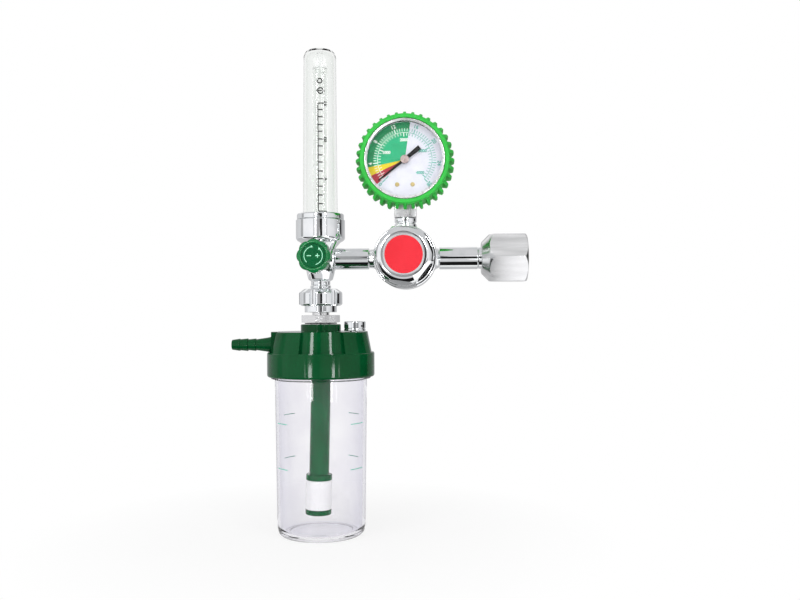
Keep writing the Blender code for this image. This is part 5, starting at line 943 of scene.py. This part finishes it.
# %% Outlet nipple, ring nut and hexagon
low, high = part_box("outlet_nipple")
nipple_top, nipple_end = high.z / MM - 7.0, low.z / MM
nipple = [(2.5, nipple_end), (5.0, nipple_end, 0.3), (6.2, nipple_end + 2.4), (8.3, nipple_end + 2.4, 0.3),
          (8.3, nipple_end + 5.2, 0.2), (5.5, nipple_end + 5.2), (5.5, nipple_top - 1.9),
          (6.65, nipple_top - 1.9, 0.4), (6.65, nipple_top, 0.4), (4.5, nipple_top),
          (4.5, nipple_top + 7, 0.2), (2.5, nipple_top + 7)]
show("outlet_nipple_turned", on_column(spun(nipple, 64)), chrome, "outlet_nipple")


def flutes(count, reach, radius, low, high, middle):
    """Round cutters that stand in a ring, to mill flutes with rounded ends."""
    cutters = []
    for number in range(count):
        cutter = spun([(0, low), (radius * 0.55, low), (radius, low + radius * 0.9, radius * 0.4),
                       (radius, high), (0, high)], 32)
        bearing = math.radians(-90 + middle + (number + 0.5) * 360 / count)
        moved(cutter, (reach * math.cos(bearing) * MM, reach * math.sin(bearing) * MM, 0))
        cutters.append(cutter)
    return together(*cutters)


low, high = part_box("coupling_nut")
nut_foot, nut_top = low.z / MM, high.z / MM
nut_form = spun([(5.8, nut_top, 0.2), (5.8, nut_top - 3.5), (8.9, nut_top - 3.5), (8.9, nut_foot, 0.2),
                 (10.4, nut_foot, 0.3), (10.4, nut_foot + 4.2, 0.2), (12.6, nut_foot + 4.2, 0.4),
                 (14.0, nut_foot + 5.2, 0.4), (14.0, nut_top - 2.4, 0.8), (10.5, nut_top, 0.4)], 128, 4)
ring_nut = bored(nut_form, flutes(6, 13.9, 2.4, nut_foot + 2.0, nut_top + 1, 15.5))
show("coupling_nut_fluted", on_column(ring_nut), chrome, "coupling_nut", "coupling_nut", crease=36)
low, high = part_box("hex_insert")
insert_foot, insert_top = low.z / MM, high.z / MM
hex_top = nut_foot - 1.8
hex_foot = hex_top - 4.7
insert_form = spun([(2.5, insert_foot, 0.2), (6.5, insert_foot, 0.3), (6.5, hex_foot), (12.3, hex_foot, 0.1),
                    (13.4, hex_foot + 0.4, 0.1), (13.4, hex_top - 0.4, 0.1), (12.3, hex_top, 0.1),
                    (5.5, hex_top), (5.5, nut_foot + 0.6), (8.6, nut_foot + 0.6, 0.3),
                    (8.6, insert_top, 0.3), (2.5, insert_top, 0.2)], 96)
insert = trimmed(many_sided(22.4, insert_foot - 1, insert_top + 1, 6, math.radians(22.6)), insert_form)
show("hex_insert_turned", on_column(insert), hexagon_nickel, "hex_insert", edge_round=0.15)

# %% [markdown]
# ## The lid
# The lid is one moulding: a boss for the hexagon, a tier with four recesses for the fingers, a smooth
# skirt, and a hose barb that leaves from a rib in the left recess. It is spun, cut four times, joined
# with the rib and the barb, and then bored.

# %% Lid with its barb
low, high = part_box("lid")
lid_top, lid_foot = high.z / MM, low.z / MM
shoulder, step = lid_top - 4.7, lid_top - 18.3
inner_boss = shoulder - 15.0
lid_form = spun([(6.8, lid_top, 0.3), (12.95, lid_top, 0.7), (12.95, shoulder, 0.5), (31.2, shoulder, 0.9),
                 (34.3, step), (34.65, step - 0.3, 0.2), (34.65, lid_foot, 1.4), (30.25, lid_foot, 0.3),
                 (30.25, step + 0.6), (26.35, step + 0.6), (22.1, shoulder - 3.5, 0.5),
                 (9.5, shoulder - 3.5, 0.5), (9.5, inner_boss, 0.3), (6.8, inner_boss, 0.3)], 144, 4)
RECESS_TURN = 8.0
for quarter in range(4):
    middle = quarter * 90 + RECESS_TURN
    floor_out = 1.6 if quarter == 0 else 0.0
    recess = spun([(28.5 + floor_out, shoulder + 1), (36, shoulder + 1), (36, step + 0.3),
                   (31.2 + floor_out, step + 0.3)], 24, turn=math.radians(50),
                  start=math.radians(middle - 25))
    lid_form = bored(lid_form, recess)
rib = bar(-31.7, -26, -7.0, 7.0, step - 0.5, shoulder - 0.05)
swung(rib, math.radians(6))
lid_form = joined(lid_form, rib)
lid_form = on_column(lid_form)
barb_z = shoulder - 8.4
face = flow_x - 31.2
tip = face - 26.7
barb = spun([(0, tip), (3.2, tip, 0.3), (3.98, tip + 5.2, 0.15), (3.6, tip + 5.5), (4.1, tip + 10.4, 0.15),
             (3.5, tip + 10.7), (4.05, tip + 15.6, 0.15), (3.55, tip + 15.9), (4.6, face - 3.5, 1.0),
             (5.6, face + 0.6), (5.6, face + 5.0), (0, face + 5.0)], 64)
lid_form = joined(lid_form, put(barb, "right", 0, barb_z))
lid_form = bored(lid_form, put(ring(0, 1.8, tip - 1, face + 9.5, 32), "right", 0, barb_z))
relief_at = middle_of("relief_body").x
lid_form = bored(lid_form, put(ring(0, 3.8, step + 4, shoulder + 1), "up", relief_at))
show("lid_moulded", lid_form, lid_plastic, "lid", crease=34, edge_round=0.35)
print("lid spans", round(lid_foot, 1), "to", round(lid_top, 1))

# %% [markdown]
# A relief valve sits on the lid's right: a chromed cap with small vent holes over a sprung disc. It
# hisses when the hose is blocked. The cap is turned and bored from the side.

# %% Relief cap
low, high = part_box("relief_cap")
cap_low, cap_top = low.z / MM, high.z / MM
cap_form = spun([(4.9, cap_low, 0.1), (7.0, cap_low, 0.2), (7.0, cap_low + 1.2, 0.1),
                 (6.7, cap_low + 1.35, 0.1), (6.7, cap_low + 1.75, 0.1), (7.0, cap_low + 1.9, 0.1),
                 (7.0, cap_top, 0.7), (0, cap_top), (0, cap_top - 1.1), (4.9, cap_top - 1.1, 0.2)], 96, 4)
for turn in (-46, 134):
    vent = ring(0, 0.65, 3.5, 8.5, 24)
    vent.transform(Matrix.Rotation(math.radians(turn), 4, "Z") @ FACING["right"])
    cap_form = bored(cap_form, put(vent, "up", 0, cap_low + 3.2))
show("relief_cap_turned", put(cap_form, "up", relief_at), chrome, "relief_cap")

# %% [markdown]
# ## The bottle
# The bottle is one clear moulding with a thick foot. Everything below the lid that the water touches
# shows through it: the dip tube, its collar, the white diffuser and a green end cap. The level marks
# are printed on the outside.

# %% Dip tube and diffuser
LEAN = math.radians(1.35)


def leaning(bm):
    """Push-fitted tubes rarely hang quite plumb: lean a little to the left below the lid."""
    pivot = Vector((flow_x * MM, 0, lid_foot * MM))
    bmesh.ops.rotate(bm, verts=bm.verts[:], cent=pivot, matrix=Matrix.Rotation(LEAN, 3, "Y"))
    return bm


low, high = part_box("dip_tube")
dip_top, dip_low = high.z / MM, low.z / MM
collar_top, collar_low = dip_top - 86.3, dip_top - 90.0
dip = [(4.6, dip_top), (6.4, dip_top, 0.3), (6.4, collar_top, 0.4), (8.4, collar_top, 0.5),
       (8.4, collar_low, 0.4), (4.0, collar_low), (4.0, dip_low), (3.0, dip_low), (3.0, collar_top),
       (4.6, collar_top + 1)]
show("dip_tube_moulded", leaning(on_column(spun(dip))), dip_plastic, "dip_tube")
dif_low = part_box("diffuser")[0].z / MM
beads = [(0, dip_low - 0.3), (4.3, dip_low - 0.3), (4.3, collar_low - 0.05), (8.3, collar_low - 0.05, 0.3),
         (8.3, dif_low + 0.5, 0.3), (3.6, dif_low + 0.5), (3.6, dif_low + 5), (0, dif_low + 5)]
show("diffuser_sintered", leaning(on_column(spun(beads, 64))), sintered_beads, "diffuser")
end_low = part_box("diffuser_cap")[0].z / MM + 1.9
end_top = dif_low + 0.45
end = [(0, end_low), (8.4, end_low, 0.7), (8.4, end_top, 0.3), (3.3, end_top), (3.3, end_top + 5),
       (0, end_top + 5)]
show("diffuser_cap_moulded", leaning(on_column(spun(end, 64))), dip_plastic, "diffuser_cap")

# %% [markdown]
# The bottle is drawn as one outline with its wall, its shallow foot and the small lip that shows
# under the lid. The level strokes lie on its outside as thin bands, two in front and two behind.

# %% Bottle and its level marks
low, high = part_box("bottle")
bottle_top, bottle_foot = high.z / MM, low.z / MM
neck = lid_foot - 1.0
glass = [(27.75, bottle_top, 0.4), (29.65, bottle_top, 0.4), (29.65, lid_foot - 0.15),
         (32.2, lid_foot - 0.15, 0.2), (32.2, lid_foot - 1.0, 0.3), (29.7, lid_foot - 1.5, 0.4),
         (28.35, bottle_foot + 6), (27.5, bottle_foot + 1.6, 1.2), (25.2, bottle_foot, 0.8),
         (21.8, bottle_foot, 0.4), (20.4, bottle_foot + 0.8, 0.5), (0, bottle_foot + 1.0),
         (0, bottle_foot + 2.6), (24.2, bottle_foot + 2.6, 1.2), (26.4, bottle_foot + 5, 1.6), (27.75, neck)]
show("bottle_blown", on_column(spun(glass, 144, 5)), clear_bottle, "bottle", "bottle", crease=50)


def level_strip(first, last, z, radius, width=0.45):
    """A thin printed band on the bottle between two angles from the front, in degrees."""
    corners = [(radius, z - width / 2), (radius + 0.03, z - width / 2), (radius + 0.03, z + width / 2),
               (radius, z + width / 2)]
    return spun(corners, 12, turn=math.radians(last - first), start=math.radians(first - 90))


levels = []
for z in (-104.6, -133.0):
    for first, last, higher in ((-63, -40, 0), (46, 70, 0), (123, 146, 2.6), (226, 250, 2.6)):
        radius = 29.67 - 1.3 * (neck - z - higher) / (neck - bottle_foot - 6)
        levels.append(level_strip(first, last, z + higher, radius))
show("bottle_level_marks", on_column(together(*levels)), bottle_ink, body="bottle")

# %% [markdown]
# ## The pieces that keep their solid
# Seals, springs, the piston and the gauge's movement are small or hidden, and their solids are true.
# They keep their shape and only take a finish.

# %% Finishes for the solids that stay
KEPT = {
    brass: ("inlet_filter", "piston", "poppet", "needle_stem", "movement_front_plate", "movement_rear_plate",
            "pinion", "sector_gear", "link", "tip_bracket", "bourdon_tube"),
    spring_steel: ("main_spring", "poppet_spring", "relief_spring", "adjusting_screw", "spring_button"),
    chrome: ("relief_body",),
    seal_rubber: ("inlet_oring", "piston_seal", "tube_oring", "insert_gasket"),
    white_plastic: ("valve_seat", "tube_foot", "lid_gasket", "relief_poppet"),
    clear_window: ("tube_plug",),
}
for finish, names in KEPT.items():
    for name in names:
        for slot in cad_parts[name].material_slots:
            slot.link = "OBJECT"
            slot.material = finish
print("solids that stay:", sum(len(names) for names in KEPT.values()))

# %% [markdown]
# ## The studio
# The set stands in a white studio. Chrome has no colour of its own, so it is lit by what it mirrors:
# a white room, bright strips that draw the light lines, and grey and dark cards that draw the rest.
# Only mirrors see the cards: the camera doesn't, and they cast no shadow and give no light.

# %% White room and floor
scene = bpy.context.scene
scene.view_settings.view_transform = "Standard"
world = bpy.data.worlds.new("white room")
scene.world = world
world.use_nodes = True
nodes, links = world.node_tree.nodes, world.node_tree.links
nodes.clear()


def seen_rays(nodes, links):
    """One where a ray comes from the camera, a mirror or clear plastic, and nought elsewhere."""
    path = nodes.new("ShaderNodeLightPath")
    seen = calculated(nodes, links, "MAXIMUM", path.outputs["Is Camera Ray"], path.outputs["Is Glossy Ray"])
    return calculated(nodes, links, "MAXIMUM", seen, path.outputs["Is Transmission Ray"])


room_light = nodes.new("ShaderNodeBackground")
room_light.inputs["Color"].default_value = (1, 1, 1, 1)
room_light.inputs["Strength"].default_value = 0.4
room_white = nodes.new("ShaderNodeBackground")
room_white.inputs["Color"].default_value = (1, 1, 1, 1)
choose = nodes.new("ShaderNodeMixShader")
links.new(seen_rays(nodes, links), choose.inputs["Fac"])
links.new(room_light.outputs["Background"], choose.inputs[1])
links.new(room_white.outputs["Background"], choose.inputs[2])
out = nodes.new("ShaderNodeOutputWorld")
links.new(choose.outputs["Shader"], out.inputs["Surface"])


def floor_finish():
    """A pale floor that holds the shadow near the set and runs out to plain white."""
    finish, nodes, links, shader = new_finish("pale studio floor", 0.9)
    speck = grain(nodes, links, 12, 3.0)
    links.new(blend_colours(nodes, links, speck, plain("f6f6f6"), plain("f9f9f9")),
              shader.inputs["Base Color"])
    links.new(spread(nodes, links, speck, 0.85, 0.95), shader.inputs["Roughness"])
    shader.inputs["Specular IOR Level"].default_value = 0.1
    white = nodes.new("ShaderNodeEmission")
    length = nodes.new("ShaderNodeVectorMath")
    length.operation = "LENGTH"
    links.new(object_place(nodes, links, "Location", (-flow_x * MM, 0, 0)), length.inputs[0])
    far = spread(nodes, links, length.outputs["Value"], 0.5, 1.0, 0.03, 0.26)
    mix = nodes.new("ShaderNodeMixShader")
    links.new(calculated(nodes, links, "MULTIPLY", far, seen_rays(nodes, links)), mix.inputs["Fac"])
    links.new(shader.outputs["BSDF"], mix.inputs[1])
    links.new(white.outputs["Emission"], mix.inputs[2])
    links.new(mix.outputs["Shader"], nodes["Material Output"].inputs["Surface"])
    return finish


floor = bmesh.new()
bmesh.ops.create_circle(floor, cap_ends=True, radius=6.0, segments=96)
moved(floor, (0, 0, (bottle_foot - 0.05) * MM))
mesh = bpy.data.meshes.new("studio_floor")
floor.to_mesh(mesh)
floor.free()
mesh.materials.append(floor_finish())
floor_thing = bpy.data.objects.new("studio_floor", mesh)
scene.collection.objects.link(floor_thing)

# %% [markdown]
# Three soft lamps light the green and white pieces. The two at the front are hidden from mirrors,
# because the cards draw the highlights more exactly than a lamp would.

# %% Soft lamps
def soft_lamp(name, azimuth, elevation, distance, width, height, watts):
    lamp = bpy.data.lights.new(name, "AREA")
    lamp.shape = "RECTANGLE"
    lamp.size, lamp.size_y = width, height
    lamp.energy = watts
    thing = bpy.data.objects.new(name, lamp)
    around, up = math.radians(azimuth), math.radians(elevation)
    aim = Vector((math.sin(around) * math.cos(up), -math.cos(around) * math.cos(up), math.sin(up)))
    thing.location = Vector((flow_x * MM, 0, 0)) + aim * distance
    thing.rotation_euler = aim.to_track_quat("Z", "Y").to_euler()
    scene.collection.objects.link(thing)
    return thing


left_lamp = soft_lamp("left strip lamp", -35, 12, 0.85, 0.3, 0.6, 2.2)
right_lamp = soft_lamp("right strip lamp", 38, 12, 0.85, 0.3, 0.6, 2.0)
for lamp in (left_lamp, right_lamp):
    lamp.visible_glossy = False
soft_lamp("overhead soft lamp", -10, 68, 1.2, 0.8, 0.8, 4.5)

# %% [markdown]
# The cards stand round the set. The wall's greys follow the bearing from the column, because a
# polished cylinder mirrors the whole room squeezed into its width. An upright card may stand for one
# line only, and a level card under the set shades the lower sides.

# %% Grey wall, strips and cards for the chrome
WALL = 0.9


def mirror_only(name, bm, colour_of):
    """A card that only mirrors can see: no camera, no shadow, no light on the set."""
    mesh = bpy.data.meshes.new(name)
    bm.to_mesh(mesh)
    bm.free()
    finish = bpy.data.materials.new(name + " paint")
    finish.use_nodes = True
    nodes, links = finish.node_tree.nodes, finish.node_tree.links
    nodes.clear()
    glow = nodes.new("ShaderNodeEmission")
    colour_of(nodes, links, glow.inputs["Color"])
    out = nodes.new("ShaderNodeOutputMaterial")
    links.new(glow.outputs["Emission"], out.inputs["Surface"])
    mesh.materials.append(finish)
    thing = bpy.data.objects.new(name, mesh)
    scene.collection.objects.link(thing)
    thing.visible_camera = False
    thing.visible_diffuse = False
    thing.visible_transmission = False
    thing.visible_shadow = False


def steady(grey):
    def paint(nodes, links, socket):
        socket.default_value = (grey, grey, grey * 1.02, 1)
    return paint


def grey_steps(nodes, links, source, stops, socket):
    """Paint greys along a pattern; stops are (place from 0 to 1, grey)."""
    ramp = nodes.new("ShaderNodeValToRGB")
    elements = ramp.color_ramp.elements
    while len(elements) < len(stops):
        elements.new(0.5)
    for element, (place, grey) in zip(elements, stops):
        element.position = place
        element.color = (grey, grey, grey * 1.02, 1)
    links.new(source, ramp.inputs["Fac"])
    links.new(ramp.outputs["Color"], socket)


WALL_GREYS = ((-180, 0.55), (-99, 0.72), (-94, 0.4), (-84, 0.42), (-79, 0.95), (-27, 1.0), (-25, 0.45),
              (-23, 0.45), (-21, 1.0), (-13, 0.95), (-10, 0.4), (3, 0.32), (5, 0.6), (15, 0.95), (33, 1.0),
              (35, 0.5), (37, 0.5), (39, 0.9), (69, 0.8), (94, 0.5), (98, 0.02), (120, 0.02), (124, 0.4),
              (164, 0.6), (180, 0.55))


def wall_paint(nodes, links, socket):
    split = nodes.new("ShaderNodeSeparateXYZ")
    links.new(object_place(nodes, links, "Location", (-flow_x * MM, 0, 0)), split.inputs["Vector"])
    ahead = calculated(nodes, links, "MULTIPLY", split.outputs["Y"], -1)
    bearing = calculated(nodes, links, "ARCTAN2", split.outputs["X"], ahead)
    share = spread(nodes, links, bearing, 0.0, 1.0, -math.pi, math.pi)
    grey_steps(nodes, links, share, [((degrees + 180) / 360, grey) for degrees, grey in WALL_GREYS], socket)


wall = bmesh.new()
bmesh.ops.create_cone(wall, cap_ends=False, segments=180, radius1=WALL, radius2=WALL, depth=0.6,
                      matrix=Matrix.Translation((flow_x * MM, 0, bottle_foot * MM + 0.32)))
mirror_only("studio_wall", wall, wall_paint)


def card(width, depth):
    """A level card round the middle."""
    bm = bmesh.new()
    bmesh.ops.create_grid(bm, x_segments=1, y_segments=1, size=0.5)
    bmesh.ops.scale(bm, verts=bm.verts[:], vec=(width, depth, 1))
    return bm


def upright_flag(name, left, right, low, high, y, paint):
    flag = swung(card(right - left, high - low), math.pi / 2, "X")
    mirror_only(name, moved(flag, ((left + right) / 2, y, (low + high) / 2)), paint)


def standing_card(name, azimuth, distance, width, low, high, paint):
    """A card that faces the column from one side; the azimuth starts at the front."""
    front = moved(swung(card(width, high - low), math.pi / 2, "X"), (0, -distance, (low + high) / 2))
    mirror_only(name, moved(swung(front, math.radians(azimuth)), (flow_x * MM, 0, 0)), paint)


def level_flag(name, left, right, near, far, z, paint):
    mirror_only(name, moved(card(right - left, far - near), ((left + right) / 2, (near + far) / 2, z)), paint)


upright_flag("column_flag", -0.078, 0.10, -0.09, 0.2, -0.87, steady(0.01))
upright_flag("bonnet_ring_card", -0.142, -0.062, 0.016, 0.092, -0.86, steady(0.8))
upright_flag("window_flag", -0.17, -0.04, 0.14, 0.29, -0.865, steady(0.02))
STRIPS = (
    ("left_strip_low", -15.4, 0.070, -0.156, -0.1, 26.0), ("left_strip_high", -15.4, 0.070, 0.1, 0.27, 26.0),
    ("left_strip_middle", -15.4, 0.070, -0.1, 0.1, 1.3), ("left_fill_strip", -26.0, 0.026, -0.156, -0.1, 7.0),
    ("right_strip_low", 32.0, 0.050, -0.156, -0.1, 26.0), ("right_strip_high", 30.0, 0.050, 0.1, 0.27, 26.0),
    ("right_fill_strip", 44.0, 0.026, -0.156, -0.1, 7.0),
    ("hexagon_dark_card", 34.0, 0.24, -0.085, -0.03, 0.36),
    ("hexagon_light_card", -87.0, 0.3, -0.085, -0.03, 0.95))
for name, azimuth, width, low, high, brightness in STRIPS:
    standing_card(name, azimuth, 0.55, width, low, high, steady(brightness))
level_flag("ceiling_card", -1.1, 0.9, -0.95, 0.5, 0.46, steady(0.64))


def floor_card_paint(nodes, links, socket):
    split = nodes.new("ShaderNodeSeparateXYZ")
    links.new(object_place(nodes, links), split.inputs["Vector"])
    share = spread(nodes, links, split.outputs["Y"], 0.0, 1.0, -0.9, 0.0)
    stops = ((0.0, 0.1), (0.02, 0.1), (0.03, 0.7), (0.7, 0.68), (0.755, 0.5), (0.78, 0.01), (0.975, 0.01),
             (1.0, 0.5))
    grey_steps(nodes, links, share, stops, socket)


CARD_Z = bottle_foot * MM + 0.001
level_flag("floor_card", -0.9, -0.006, -0.9, -0.031, CARD_Z, floor_card_paint)
level_flag("light_floor_card", -0.006, 0.7, -0.9, -0.031, CARD_Z, steady(1.25))
level_flag("rear_floor_card", -0.9, 0.7, 0.033, 0.9, CARD_Z, steady(0.55))

# %% [markdown]
# The camera stands level with the coupling, a little over half a metre away, and looks slightly to the
# left and up. Its place was found by matching places on the solids with the same places in the picture.

# %% Camera
PICTURE_WIDTH, FOCAL_PIXELS = 800, 913.66
EYE = (-0.06136, -0.59066, -0.0347)
yaw, pitch, roll = math.radians(1.979), math.radians(0.767), math.radians(-0.301)
ahead = Vector((-math.sin(yaw) * math.cos(pitch), math.cos(yaw) * math.cos(pitch), math.sin(pitch)))
side = ahead.cross(Vector((0, 0, 1))).normalized()
upward = side.cross(ahead)
right = side * math.cos(roll) + upward * math.sin(roll)
upward = right.cross(ahead)
lens = bpy.data.cameras.new("studio camera")
lens.sensor_width = 36.0
lens.lens = FOCAL_PIXELS * lens.sensor_width / PICTURE_WIDTH
camera = bpy.data.objects.new("studio camera", lens)
camera.matrix_world = Matrix.Translation(EYE) @ Matrix((right, upward, -ahead)).transposed().to_4x4()
scene.collection.objects.link(camera)
scene.camera = camera
print("camera lens:", round(lens.lens, 2))
